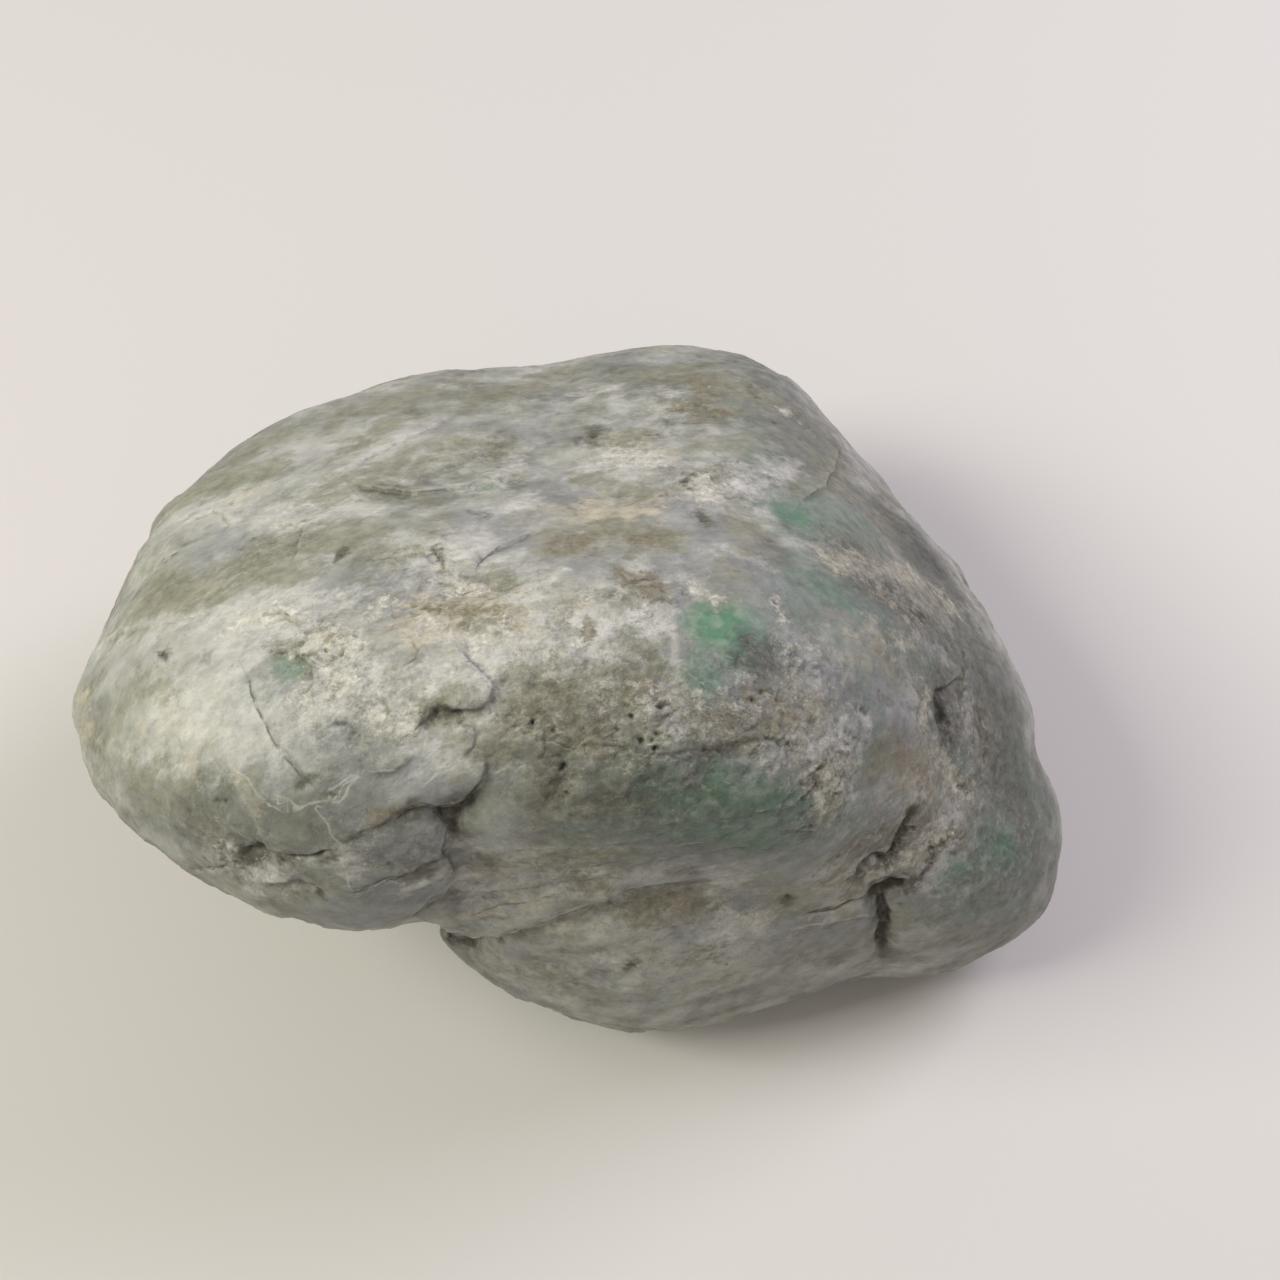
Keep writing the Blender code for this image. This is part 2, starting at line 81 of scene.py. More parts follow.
# Steps between flakes: the skin to the left of the path stands higher.
steps = {
    "bigFlake": {"rise": 0.35, "drop": 0.25, "reach": 2.6, "path": [
        (440, 714), (467, 709), (479, 708), (489, 701), (493, 688), (491, 683), (479, 672), (469, 663),
        (461, 650), (455, 640)]},
    "middleFlake": {"rise": 0.25, "drop": 0.22, "reach": 2, "path": [
        (462, 757), (472, 746), (474, 734), (472, 728), (455, 723), (454, 717)]},
    "lowerFlake": {"rise": 0.3, "drop": 0.45, "reach": 2.4, "path": [
        (393, 820), (406, 808), (420, 804), (441, 807), (458, 803), (472, 793), (482, 782), (484, 771),
        (482, 764), (473, 764), (467, 760)]},
    "brownFlake": {"rise": 0.12, "drop": 0.18, "reach": 1.8, "path": [
        (340, 842), (356, 836), (372, 828), (384, 824), (399, 808), (410, 800), (428, 796)]},
    "blockEdge": {"rise": 0.22, "drop": 0.4, "reach": 2.2, "path": [
        (411, 917), (428, 903), (446, 894), (455, 878), (453, 866), (440, 854), (444, 843), (446, 827),
        (436, 816)]},
    "waistRim": {"rise": 0.3, "drop": 0.6, "reach": 2.4, "path": [
        (411, 917), (434, 923), (446, 930), (469, 935), (499, 935), (519, 930), (547, 921), (577, 911),
        (602, 902), (630, 890)]},
    "upperLedge": {"rise": 0.35, "drop": 0.3, "reach": 2.4, "path": [
        (350, 480), (366, 487), (390, 490), (416, 493), (447, 488), (473, 483), (500, 480)]},
    "upperRidge": {"rise": 0.25, "drop": 0.2, "reach": 2, "path": [
        (350, 473), (366, 456), (390, 445), (410, 436), (437, 425), (455, 414)]},
    "whiteFlake": {"rise": 0.3, "drop": 0.3, "reach": 2, "path": [
        (434, 576), (442, 580), (456, 583), (468, 587), (482, 585), (488, 578)]},
    "pinkFlake": {"rise": 0.25, "drop": 0.25, "reach": 2, "path": [
        (432, 545), (438, 556), (446, 568), (458, 576), (472, 574)]},
    "crackFlake": {"rise": 0.22, "drop": 0.25, "reach": 1.8, "path": [
        (476, 568), (483, 556), (495, 547), (508, 541), (524, 534), (532, 526)]},
    "greyFlake": {"rise": 0.25, "drop": 0.22, "reach": 1.8, "path": [
        (188, 526), (200, 516), (214, 511), (226, 515), (233, 524), (226, 532), (210, 538)]},
    "creamFlake": {"rise": 0.3, "drop": 0.28, "reach": 2, "path": [
        (252, 618), (262, 612), (278, 611), (290, 618), (300, 622), (316, 618), (330, 612), (352, 604),
        (366, 594), (380, 588)]},
    "chipRim": {"rise": 0.3, "drop": 0.3, "reach": 1.6, "path": [
        (262, 642), (276, 648), (290, 650), (306, 658), (312, 668), (312, 684), (306, 694)]},
    "olivePatchRim": {"rise": 0.2, "drop": 0.22, "reach": 2, "path": [
        (240, 552), (250, 540), (268, 528), (290, 524), (305, 530), (298, 545), (296, 558), (308, 566)]},
    "noseBand": {"rise": 0.2, "drop": 0.2, "reach": 2.2, "path": [
        (96, 652), (108, 641), (127, 631), (150, 626), (169, 620), (190, 616), (212, 611)]},
    "shellA": {"rise": 0.22, "drop": 0.22, "reach": 1.8, "path": [
        (352, 700), (370, 694), (384, 700), (390, 712), (386, 724), (374, 732)]},
    "shellB": {"rise": 0.2, "drop": 0.22, "reach": 1.8, "path": [
        (372, 770), (390, 772), (404, 766), (410, 754), (402, 744)]},
    "shellC": {"rise": 0.2, "drop": 0.22, "reach": 1.8, "path": [
        (398, 628), (414, 636), (420, 648), (414, 660), (400, 668)]},
    "shellD": {"rise": 0.18, "drop": 0.2, "reach": 1.8, "path": [
        (318, 730), (336, 722), (352, 724), (362, 734), (360, 748)]},
    "frontEdge": {"rise": 0.12, "drop": 0.14, "reach": 1.8, "path": [
        (545, 743), (560, 744), (571, 749), (577, 744), (593, 745), (612, 748), (628, 747), (636, 755),
        (656, 754), (680, 752), (702, 751), (722, 744), (745, 741), (765, 737), (782, 741), (794, 752)]},
    "greenLip": {"rise": 0.25, "drop": 0.3, "reach": 1.8, "path": [
        (751, 811), (764, 811), (780, 809), (794, 805), (804, 794), (813, 785), (815, 774)]},
    "shoulderLip": {"rise": 0.25, "drop": 0.3, "reach": 1.8, "path": [
        (781, 833), (790, 830), (799, 829), (808, 831), (818, 829)]},
    "recessRim": {"rise": 0.3, "drop": 0.7, "reach": 2.2, "path": [
        (934, 742), (928, 722), (926, 706), (932, 694), (936, 688), (946, 688), (953, 680), (963, 676)]},
    "rightSkin": {"rise": 0.3, "drop": 0.22, "reach": 2, "path": [
        (960, 640), (962, 650), (966, 666), (965, 681), (967, 698), (966, 714)]},
    "oliveFold": {"rise": 0.25, "drop": 0.25, "reach": 2, "path": [
        (800, 500), (812, 494), (824, 486), (834, 470), (838, 456), (842, 440)]},
    "bandEdge": {"rise": 0.1, "drop": 0.12, "reach": 2.2, "path": [
        (468, 862), (500, 852), (540, 850), (575, 858), (604, 866)]},
    "lowerBand": {"rise": 0.1, "drop": 0.18, "reach": 2.2, "path": [
        (440, 902), (470, 896), (505, 893), (540, 886), (575, 880), (610, 874), (650, 862), (700, 852),
        (740, 848), (776, 850), (800, 846)]},
    "seamLip": {"rise": 0.2, "drop": 0.25, "reach": 1.8, "path": [
        (800, 914), (812, 912), (835, 907), (851, 900), (868, 896)]},
    "toeBand": {"rise": 0.15, "drop": 0.18, "reach": 2, "path": [
        (786, 934), (810, 929), (835, 922), (860, 918), (874, 917)]},
}

# Cracks, hollows and pits, by depth and half their width, in mm. A depth below zero is a ridge.
cuts = {
    "noseHairline": {"depth": 0.22, "half": 0.28, "path": [
        (239, 659), (247, 676), (252, 695), (259, 712), (266, 726), (280, 750), (292, 766), (303, 779)]},
    "noseCross": {"depth": 0.3, "half": 0.4, "path": [(312, 779), (305, 783), (298, 789)]},
    "bigHollow": {"depth": 0.5, "half": 0.55, "path": [(430, 712), (444, 710), (458, 713), (466, 716)]},
    "hollowTail": {"depth": 0.3, "half": 0.5, "path": [(436, 716), (428, 722), (422, 730)]},
    "lowerHollow": {"depth": 0.4, "half": 0.6, "path": [(438, 811), (452, 810), (466, 802), (479, 788)]},
    "lowerGap": {"depth": 0.45, "half": 0.4, "path": [(444, 812), (452, 822), (454, 836)]},
    "brownSlit": {"depth": 0.35, "half": 0.35, "path": [(398, 818), (408, 812), (416, 806)]},
    "crystalPit": {"depth": 0.7, "half": 0.6, "path": [(244, 854), (256, 852), (264, 848)]},
    "noseSlit": {"depth": 0.6, "half": 0.35, "path": [(284, 858), (297, 858), (312, 856), (332, 852)]},
    "noseLine": {"depth": 0.35, "half": 0.35, "path": [
        (190, 868), (205, 869), (219, 868), (226, 864), (242, 864)]},
    "lipHollow": {"depth": 0.25, "half": 0.5, "path": [
        (276, 900), (284, 889), (300, 884), (314, 887), (322, 893)]},
    "whiteLip": {"depth": -0.4, "half": 0.7, "path": [(250, 880), (266, 881), (284, 880), (296, 878)]},
    "frontCrack": {"depth": 0.35, "half": 0.35, "path": [
        (350, 892), (362, 889), (374, 884), (387, 879), (400, 878), (413, 871)]},
    "rimHollow": {"depth": 0.4, "half": 0.5, "path": [(414, 874), (424, 868), (434, 862), (442, 856)]},
    "rimRidge": {"depth": -0.3, "half": 0.5, "path": [
        (401, 892), (414, 888), (425, 884), (436, 876), (446, 871), (456, 870)]},
    "notchSlit": {"depth": 0.35, "half": 0.45, "path": [(430, 934), (440, 937), (456, 941), (474, 942)]},
    "waveGroove": {"depth": 0.16, "half": 0.8, "path": [
        (565, 751), (563, 764), (561, 780), (552, 796), (540, 808)]},
    "bubblesA": {"depth": 0.4, "half": 0.5, "path": [(300, 628), (312, 630)]},
    "bubblesB": {"depth": 0.35, "half": 0.45, "path": [(322, 646), (330, 650)]},
    "bubblesC": {"depth": 0.35, "half": 0.45, "path": [(336, 652), (344, 650)]},
    "flakeShadow": {"depth": 0.3, "half": 0.4, "path": [(450, 590), (458, 593), (468, 592)]},
    "skinCrack": {"depth": 0.25, "half": 0.3, "path": [
        (476, 567), (483, 557), (490, 551), (501, 544), (512, 540), (524, 533)]},
    "whiteRidge": {"depth": -0.25, "half": 0.5, "path": [(519, 595), (530, 590), (542, 583), (558, 574)]},
    "boxRidge": {"depth": 0.2, "half": 0.35, "path": [
        (618, 573), (628, 580), (640, 578), (655, 577), (662, 586), (660, 598)]},
    "rightCrack": {"depth": 0.9, "half": 0.5, "path": [
        (914, 808), (911, 816), (904, 830), (899, 841), (894, 851), (885, 858), (874, 856), (866, 863),
        (859, 872), (854, 878)]},
    "rightBranch": {"depth": 0.5, "half": 0.35, "path": [(903, 833), (911, 830), (919, 829)]},
    "toeCrack": {"depth": 0.45, "half": 0.4, "path": [(934, 846), (933, 856), (929, 868), (922, 878)]},
    "toeSplit": {"depth": 0.9, "half": 0.6, "path": [(868, 894), (880, 889), (893, 884), (908, 884)]},
    "toeSlit": {"depth": 1, "half": 0.5, "path": [
        (880, 889), (881, 906), (884, 922), (882, 938), (883, 953)]},
    "shoulderCrack": {"depth": 0.4, "half": 0.3, "path": [
        (781, 831), (792, 829), (804, 827), (818, 827)]},
    "crystalCrack": {"depth": 0.45, "half": 0.4, "path": [(826, 763), (818, 769), (813, 777), (812, 786)]},
    "recess": {"depth": 0.8, "half": 0.9, "path": [(936, 694), (940, 706), (946, 722), (944, 734)]},
    "recessLow": {"depth": 0.35, "half": 0.9, "path": [(946, 744), (940, 756), (930, 766)]},
    "chipBed": {"depth": 0.25, "half": 0.5, "path": [(862, 708), (870, 716)]},
    "speckleRow": {"depth": 0.25, "half": 0.3, "path": [
        (751, 728), (760, 734), (768, 739), (780, 743), (788, 750)]},
    "centreRow": {"depth": 0.25, "half": 0.3, "path": [(655, 728), (664, 722), (676, 714)]},
    "seam": {"depth": 0.35, "half": 0.35, "path": [
        (806, 913), (820, 910), (835, 907), (851, 900), (866, 896)]},
    "rightDent": {"depth": 0.5, "half": 1.3, "path": [(982, 700), (984, 722), (980, 742)]},
    "toeDent": {"depth": 0.3, "half": 1.2, "path": [(960, 842), (952, 836)]},
}

# Round holes: (across, down, radius in mm, depth in mm).
holes = [
    (641, 739, 0.36, 0.81), (655, 750, 0.32, 0.81), (632, 714, 0.32, 0.54), (657, 733, 0.32, 0.54),
    (653, 741, 0.29, 0.45), (566, 793, 0.29, 0.63), (563, 769, 0.29, 0.54), (532, 722, 0.29, 0.54),
    (554, 729, 0.29, 0.36), (616, 729, 0.29, 0.41), (661, 705, 0.36, 0.54), (633, 964, 0.43, 0.81),
    (705, 751, 0.29, 0.45), (735, 749, 0.25, 0.36), (741, 712, 0.25, 0.32), (762, 690, 0.29, 0.36),
    (778, 700, 0.29, 0.36), (753, 698, 0.25, 0.36), (790, 745, 0.29, 0.54), (776, 603, 0.36, 0.45),
    (341, 555, 0.32, 0.27), (921, 618, 0.43, 0.36), (330, 794, 0.29, 0.32), (321, 893, 0.43, 0.54),
    (224, 801, 0.29, 0.27), (163, 655, 0.36, 0.23), (593, 437, 0.58, 0.45), (684, 480, 0.5, 0.32),
    (703, 518, 0.58, 0.36), (961, 786, 0.5, 0.45), (912, 612, 0.36, 0.36), (788, 897, 0.43, 0.32),
]

# Zones of rough skin: width in mm, strength, path.
roughZones = [
    (14, 1.0, [(560, 700), (640, 720), (720, 725)]), (10, 1.0, [(745, 690), (800, 700), (830, 740)]),
    (8, 1.0, [(830, 745), (832, 800)]), (10, 0.8, [(560, 640), (610, 650), (650, 600)]),
    (9, 0.9, [(310, 640), (330, 670), (350, 700)]), (9, 0.7, [(430, 605), (500, 610)]),
    (9, 0.8, [(850, 560), (910, 600), (950, 640)]), (9, 1.0, [(880, 840), (930, 850)]),
    (7, 0.9, [(225, 852), (265, 860)]), (10, 0.6, [(700, 480), (740, 480)]),
    (8, 0.9, [(930, 700), (985, 740), (970, 790)]), (9, 0.7, [(400, 570), (450, 590), (520, 600)]),
    (8, 0.6, [(440, 690), (500, 720), (540, 740)]), (7, 0.6, [(480, 480), (500, 450)]),
    (8, 0.6, [(370, 860), (430, 850)]), (8, 0.7, [(760, 740), (800, 760)]),
    (7, 0.6, [(250, 560), (290, 540)]), (8, 0.5, [(560, 860), (640, 900)]),
    (7, 0.6, [(640, 440), (690, 410)]), (12, 0.5, [(560, 800), (700, 820), (780, 800)]),
    (12, 0.4, [(480, 900), (620, 890), (740, 900)]), (12, 0.4, [(500, 970), (640, 970), (760, 950)]),
    (12, 0.5, [(950, 880), (1020, 850)]),
]
# Clots of crystals that stand out of the skin.
clotZones = [
    (4.5, 1.0, [(824, 780), (836, 792)]), (3.5, 0.9, [(822, 806), (834, 808)]),
    (4, 0.8, [(828, 742), (846, 752)]), (3, 0.9, [(222, 846), (226, 860)]),
    (4, 0.7, [(875, 872), (905, 868)]), (4, 0.6, [(320, 640), (345, 660)]),
    (4, 0.7, [(925, 850), (950, 838)]), (4, 0.6, [(790, 655), (810, 668)]),
]


# Colours lying in the skin, by family. Each mark: width in mm, how strongly it covers, and its path.
marks = {
    "darkGroundAndShade": [  # darker grey-green jadeite, and painted shade over the right side and the lower front faces
        (16, 1.0, [(860, 560), (920, 640), (980, 700)]),
        (14, 1.0, [(720, 385), (790, 430), (850, 500)]),
        (14, 0.9, [(780, 600), (840, 680), (880, 740)]), (12, 0.8, [(620, 370), (700, 375)]),
        (12, 0.9, [(1000, 760), (1040, 800), (1040, 860)]),
        (12, 0.9, [(560, 740), (640, 770), (720, 760)]),
        (12, 0.8, [(600, 820), (700, 830), (780, 820)]), (10, 0.7, [(540, 700), (620, 700)]),
        (12, 0.9, [(320, 900), (400, 905), (440, 880)]),
        (12, 0.8, [(270, 790), (340, 800), (410, 800)]),
        (11, 1.0, [(215, 800), (290, 818), (345, 805)]),
        (10, 1.1, [(560, 765), (600, 785), (640, 790)]),
        (10, 0.9, [(600, 690), (680, 700), (740, 705)]), (10, 1.0, [(650, 790), (700, 795)]),
        (12, 0.9, [(900, 540), (960, 620), (1000, 700)]), (10, 0.9, [(990, 860), (1030, 880)]),
        (9, 1.2, [(885, 525), (915, 540), (940, 580)]),
        (9, 1.0, [(985, 650), (1005, 700), (1010, 750)]),
        (10, 0.9, [(740, 350), (790, 400), (830, 440)]), (7, 0.9, [(748, 640), (764, 660)]),
        (10, 0.9, [(150, 790), (200, 820), (250, 850)]), (10, 0.9, [(960, 620), (990, 680)]),
        (9, 0.9, [(660, 830), (740, 838), (800, 830)]), (8, 0.9, [(930, 700), (950, 735)]),
        (10, 0.6, [(170, 480), (240, 450), (320, 420)]), (12, 0.5, [(440, 400), (540, 395)]),
        (10, 0.6, [(900, 900), (980, 910)]), (10, 0.5, [(480, 820), (560, 830)]),
    ],
    "pale": [  # soft, lighter ground
        (8, 0.9, [(120, 655), (160, 650)]), (9, 0.9, [(655, 950), (700, 955), (755, 945)]),
        (10, 0.8, [(270, 450), (330, 440), (380, 455)]),
        (13, 0.9, [(170, 720), (215, 690), (245, 650)]),
        (10, 1.0, [(220, 620), (260, 610), (290, 620)]),
        (10, 0.8, [(230, 740), (290, 720), (330, 700)]), (9, 0.8, [(330, 640), (400, 640)]),
        (10, 0.7, [(330, 520), (240, 515), (190, 530)]), (9, 0.7, [(430, 560), (500, 560), (560, 580)]),
        (9, 0.7, [(430, 620), (520, 630), (590, 640)]), (8, 0.7, [(480, 520), (540, 520)]),
        (9, 0.6, [(590, 455), (640, 470)]), (8, 0.6, [(700, 490), (740, 480)]),
        (7, 0.8, [(825, 745), (840, 790)]), (8, 0.7, [(880, 870), (930, 850)]),
        (9, 0.6, [(640, 940), (760, 930)]), (8, 0.6, [(480, 740), (420, 740)]),
        (9, 0.5, [(500, 900), (560, 890)]), (8, 0.5, [(100, 650), (160, 640)]),
        (7, 0.6, [(840, 560), (910, 575)]), (8, 0.5, [(380, 430), (440, 420)]),
    ],
    "bleach": [  # white, weathered jadeite
        (5, 1.1, [(244, 626), (266, 622), (286, 628)]), (5, 0.9, [(180, 700), (215, 682), (243, 664)]),
        (5, 0.9, [(196, 735), (228, 720), (262, 700)]),
        (6, 1.1, [(238, 636), (246, 612), (262, 606), (290, 616)]), (5, 0.9, [(205, 622), (228, 614)]),
        (4, 0.9, [(168, 740), (186, 728), (208, 722)]), (3, 0.8, [(150, 712), (172, 702), (190, 692)]),
        (5, 0.8, [(310, 712), (336, 700)]), (4, 0.8, [(136, 755), (160, 762), (182, 766)]),
        (5, 0.8, [(200, 752), (238, 750)]), (4, 0.7, [(262, 735), (284, 742)]),
        (3, 0.9, [(155, 632), (176, 622), (192, 620)]), (4, 0.8, [(96, 650), (118, 638)]),
        (5, 0.9, [(268, 520), (300, 524), (316, 517)]), (3, 1.0, [(227, 510), (240, 516)]),
        (5, 0.8, [(180, 520), (205, 508), (240, 500)]), (5, 0.8, [(300, 500), (345, 505), (365, 512)]),
        (4, 0.8, [(296, 556), (315, 552), (330, 545)]), (4, 0.7, [(350, 470), (366, 456), (392, 444)]),
        (2.2, 0.9, [(388, 480), (412, 480)]), (6, 0.8, [(434, 560), (458, 548), (470, 540)]),
        (4, 0.7, [(492, 560), (510, 556)]), (2.4, 1.0, [(436, 578), (452, 586), (470, 588)]),
        (1.8, 1.0, [(519, 596), (530, 590), (545, 582), (560, 572)]),
        (2.5, 0.9, [(498, 486), (506, 470), (514, 452)]), (3, 0.8, [(504, 512), (526, 498)]),
        (5, 0.65, [(512, 640), (560, 646), (600, 650)]),
        (2.6, 1.1, [(574, 620), (586, 626), (600, 618)]),
        (2.8, 1.1, [(641, 616), (650, 624), (662, 622)]),
        (4, 0.9, [(470, 640), (492, 660), (494, 690)]), (4, 0.8, [(300, 606), (340, 600)]),
        (5, 0.8, [(350, 660), (372, 676)]), (4, 0.9, [(484, 728), (514, 728)]),
        (3, 0.9, [(452, 730), (468, 742), (466, 754)]), (5, 0.7, [(420, 690), (440, 670)]),
        (3, 0.6, [(640, 570), (652, 574)]), (4, 0.5, [(600, 596), (640, 600)]),
        (4, 0.7, [(582, 394), (612, 390)]), (4, 0.5, [(662, 392), (680, 392)]),
        (4, 0.8, [(584, 468), (642, 468)]), (5, 0.8, [(734, 505), (745, 480)]),
        (4, 0.7, [(770, 470), (790, 465)]), (4, 0.45, [(716, 548), (752, 560)]),
        (4, 0.6, [(676, 690), (678, 720), (676, 755)]), (1.3, 1.2, [(862, 708), (871, 718)]),
        (4, 0.9, [(820, 745), (850, 742)]), (5, 0.6, [(420, 740), (440, 760)]),
        (3, 1.0, [(226, 850), (216, 856)]), (3.4, 1.0, [(252, 880), (290, 880)]),
        (3, 0.9, [(340, 850), (346, 872)]), (2.6, 0.9, [(404, 890), (440, 874)]),
        (3.4, 0.8, [(462, 876), (474, 892)]), (4, 0.8, [(866, 872), (888, 872), (912, 858)]),
        (4, 0.9, [(930, 862), (950, 850), (940, 876)]), (3, 0.7, [(920, 640), (942, 652)]),
        (3, 0.7, [(968, 700), (966, 728)]), (3, 0.8, [(720, 882), (738, 876)]),
        (4, 0.8, [(730, 922), (756, 918)]), (3, 0.8, [(710, 942), (726, 938)]),
        (2.5, 0.8, [(612, 960), (630, 962)]), (3, 0.6, [(806, 918), (824, 916)]),
        (3, 0.7, [(894, 926), (902, 932)]), (3.5, 0.5, [(690, 868), (720, 872)]),
        (4, 0.6, [(380, 720), (400, 736)]), (3, 0.7, [(700, 488), (714, 500)]),
        (5, 0.5, [(140, 716), (170, 700)]), (4, 0.5, [(448, 830), (470, 846)]),
        (4, 0.45, [(560, 880), (600, 872)]), (4, 0.45, [(760, 790), (800, 770)]),
    ],
    "olive": [
        (6, 1.0, [(165, 505), (205, 486), (240, 476), (262, 470)]),
        (5, 0.9, [(240, 458), (262, 440), (282, 436)]), (7, 1.1, [(252, 566), (266, 550), (292, 542)]),
        (5, 1.0, [(262, 576), (290, 570)]), (5, 1.1, [(320, 540), (345, 530), (364, 530)]),
        (3, 0.9, [(318, 552), (336, 548)]), (7, 0.8, [(142, 600), (176, 594), (214, 590)]),
        (6, 0.8, [(120, 626), (140, 604), (150, 590)]), (7, 0.8, [(330, 494), (362, 482), (400, 462)]),
        (6, 0.7, [(352, 448), (400, 420)]), (5, 1.0, [(380, 408), (424, 392)]),
        (6, 0.7, [(420, 460), (450, 448), (470, 440)]), (6, 0.8, [(478, 396), (530, 384)]),
        (5, 0.8, [(540, 378), (560, 372)]), (5, 0.7, [(495, 455), (505, 440)]),
        (5, 0.8, [(588, 478), (632, 490)]), (6, 0.9, [(562, 540), (600, 534)]),
        (5, 0.9, [(628, 524), (668, 540)]), (4, 0.9, [(612, 440), (648, 436)]),
        (6, 0.8, [(658, 376), (700, 366)]), (7, 0.8, [(712, 380), (745, 392)]),
        (4, 0.8, [(723, 446), (753, 438)]), (5, 0.9, [(745, 388), (757, 396)]),
        (5, 0.9, [(806, 498), (830, 482), (838, 458)]), (6, 0.7, [(812, 450), (846, 490)]),
        (5, 1.0, [(846, 546), (872, 532), (892, 520)]), (9, 0.7, [(140, 785), (175, 805), (205, 825)]),
        (5, 0.6, [(88, 720), (96, 770)]), (4, 0.8, [(290, 652), (318, 664)]),
        (6, 0.6, [(128, 690), (166, 682)]), (5, 0.9, [(424, 714), (450, 712)]),
        (8, 0.9, [(536, 700), (576, 690)]), (8, 0.8, [(600, 690), (650, 670)]),
        (7, 0.8, [(556, 740), (600, 732)]), (9, 0.7, [(620, 706), (650, 740)]),
        (7, 0.8, [(490, 752), (516, 742)]), (6, 0.9, [(560, 750), (550, 800)]),
        (7, 0.6, [(590, 770), (640, 760)]), (4, 0.8, [(486, 578), (500, 582)]),
        (5, 0.7, [(505, 618), (470, 616)]), (4, 0.7, [(640, 600), (656, 588)]),
        (4, 0.8, [(730, 500), (742, 530), (745, 548)]), (3, 0.8, [(722, 570), (740, 576)]),
        (7, 0.6, [(700, 720), (760, 730)]), (6, 0.6, [(780, 680), (820, 700)]),
        (5, 0.8, [(862, 655), (884, 664)]), (6, 0.6, [(870, 770), (900, 760)]),
        (6, 0.7, [(570, 842), (620, 846)]), (5, 0.6, [(540, 862), (580, 856)]),
        (5, 0.9, [(780, 896), (790, 902)]), (6, 0.6, [(690, 912), (712, 908)]),
        (5, 0.8, [(890, 912), (902, 920)]), (6, 0.6, [(280, 896), (320, 890)]),
        (6, 0.5, [(480, 960), (540, 970)]), (6, 0.5, [(850, 940), (872, 946)]),
        (5, 0.6, [(950, 640), (962, 676)]), (5, 0.6, [(986, 700), (990, 740)]),
        (5, 0.6, [(860, 540), (850, 560)]), (5, 0.5, [(230, 790), (256, 786)]),
        (6, 0.5, [(640, 960), (700, 955)]), (5, 0.6, [(330, 430), (350, 412)]),
        (5, 0.5, [(420, 500), (450, 508)]), (6, 0.6, [(376, 560), (400, 548)]),
        (4, 0.6, [(516, 520), (540, 512)]),
    ],
    "umber": [  # brown, iron-stained
        (5, 1.0, [(645, 908), (668, 898), (690, 896)]), (4, 1.0, [(672, 902), (680, 912)]),
        (4, 0.8, [(692, 412), (706, 398), (700, 384)]), (4, 0.9, [(686, 410), (730, 412)]),
        (4, 0.8, [(565, 546), (590, 538)]), (4, 0.7, [(640, 540), (664, 534)]),
        (6, 0.7, [(532, 706), (560, 716)]), (3, 0.8, [(592, 726), (598, 742)]),
        (5, 0.7, [(640, 700), (664, 694)]), (1.4, 1.0, [(588, 622), (588, 632)]),
        (3, 0.7, [(576, 740), (590, 738)]), (4, 0.6, [(440, 606), (486, 610)]),
        (2.4, 0.9, [(618, 574), (632, 584), (650, 580)]), (2, 0.9, [(656, 580), (662, 596)]),
        (5, 0.8, [(706, 720), (740, 730)]), (6, 0.7, [(760, 700), (800, 720)]),
        (5, 0.8, [(858, 528), (868, 545)]), (4, 0.8, [(884, 556), (900, 574)]),
        (5, 0.7, [(870, 600), (890, 615)]), (6, 0.7, [(900, 750), (930, 780)]),
        (4, 0.8, [(855, 850), (875, 838), (890, 830)]), (4, 0.8, [(908, 826), (930, 812)]),
        (3, 0.9, [(953, 786), (966, 790)]), (3, 0.8, [(950, 836), (958, 844)]),
        (5, 0.7, [(832, 870), (850, 888)]), (4, 0.7, [(596, 818), (640, 804)]),
        (3, 0.7, [(378, 820), (402, 806)]), (4, 0.6, [(470, 866), (500, 860)]),
        (4, 0.7, [(576, 878), (600, 888)]), (4, 0.6, [(590, 860), (610, 852)]),
        (4, 0.6, [(700, 952), (716, 950)]), (3, 0.6, [(580, 982), (586, 986)]),
        (4, 0.6, [(978, 716), (984, 744)]), (3, 0.7, [(930, 700), (928, 690)]),
        (2.5, 0.8, [(312, 632), (326, 640)]), (3, 0.35, [(256, 786), (246, 792)]),
        (4, 0.6, [(920, 600), (940, 612)]), (3, 0.7, [(787, 404), (800, 414)]),
        (4, 0.6, [(880, 896), (884, 940)]), (3, 0.5, [(500, 870), (520, 880)]),
        (3, 0.6, [(740, 690), (752, 700)]), (4, 0.5, [(604, 906), (640, 900)]),
    ],
    "crust": [  # cream, crystalline crust
        (4, 0.8, [(244, 622), (262, 614), (284, 622)]), (4, 0.5, [(690, 700), (712, 724)]),
        (3, 0.7, [(376, 604), (388, 608)]), (3, 0.8, [(376, 722), (412, 728)]),
        (4, 0.9, [(700, 478), (708, 498)]), (5, 0.9, [(616, 456), (650, 458)]),
        (2, 0.8, [(776, 602), (782, 618)]), (4, 0.45, [(786, 662), (806, 652)]),
        (5, 0.9, [(316, 640), (344, 650)]), (4, 0.9, [(326, 664), (342, 684)]),
        (3, 0.8, [(270, 607), (292, 618)]), (3, 0.8, [(420, 622), (440, 630)]),
        (4, 0.7, [(480, 640), (500, 634)]), (3, 0.9, [(408, 720), (400, 730)]),
        (2.4, 0.8, [(786, 410), (790, 413)]), (3, 0.7, [(732, 918), (756, 916)]),
        (3, 0.6, [(704, 590), (722, 600)]), (4, 0.5, [(724, 700), (740, 712)]),
        (3, 0.7, [(456, 590), (480, 588)]), (2.4, 0.8, [(654, 710), (650, 700)]),
        (3, 0.6, [(770, 760), (782, 770)]), (3, 0.7, [(302, 700), (322, 704)]),
    ],
    "cream": [  # ochre-cream, granular
        (3.4, 1.1, [(820, 775), (838, 790), (826, 806)]), (4, 0.6, [(822, 748), (850, 750)]),
        (3.6, 1.1, [(834, 562), (856, 562)]), (3.6, 1.1, [(892, 572), (914, 574)]),
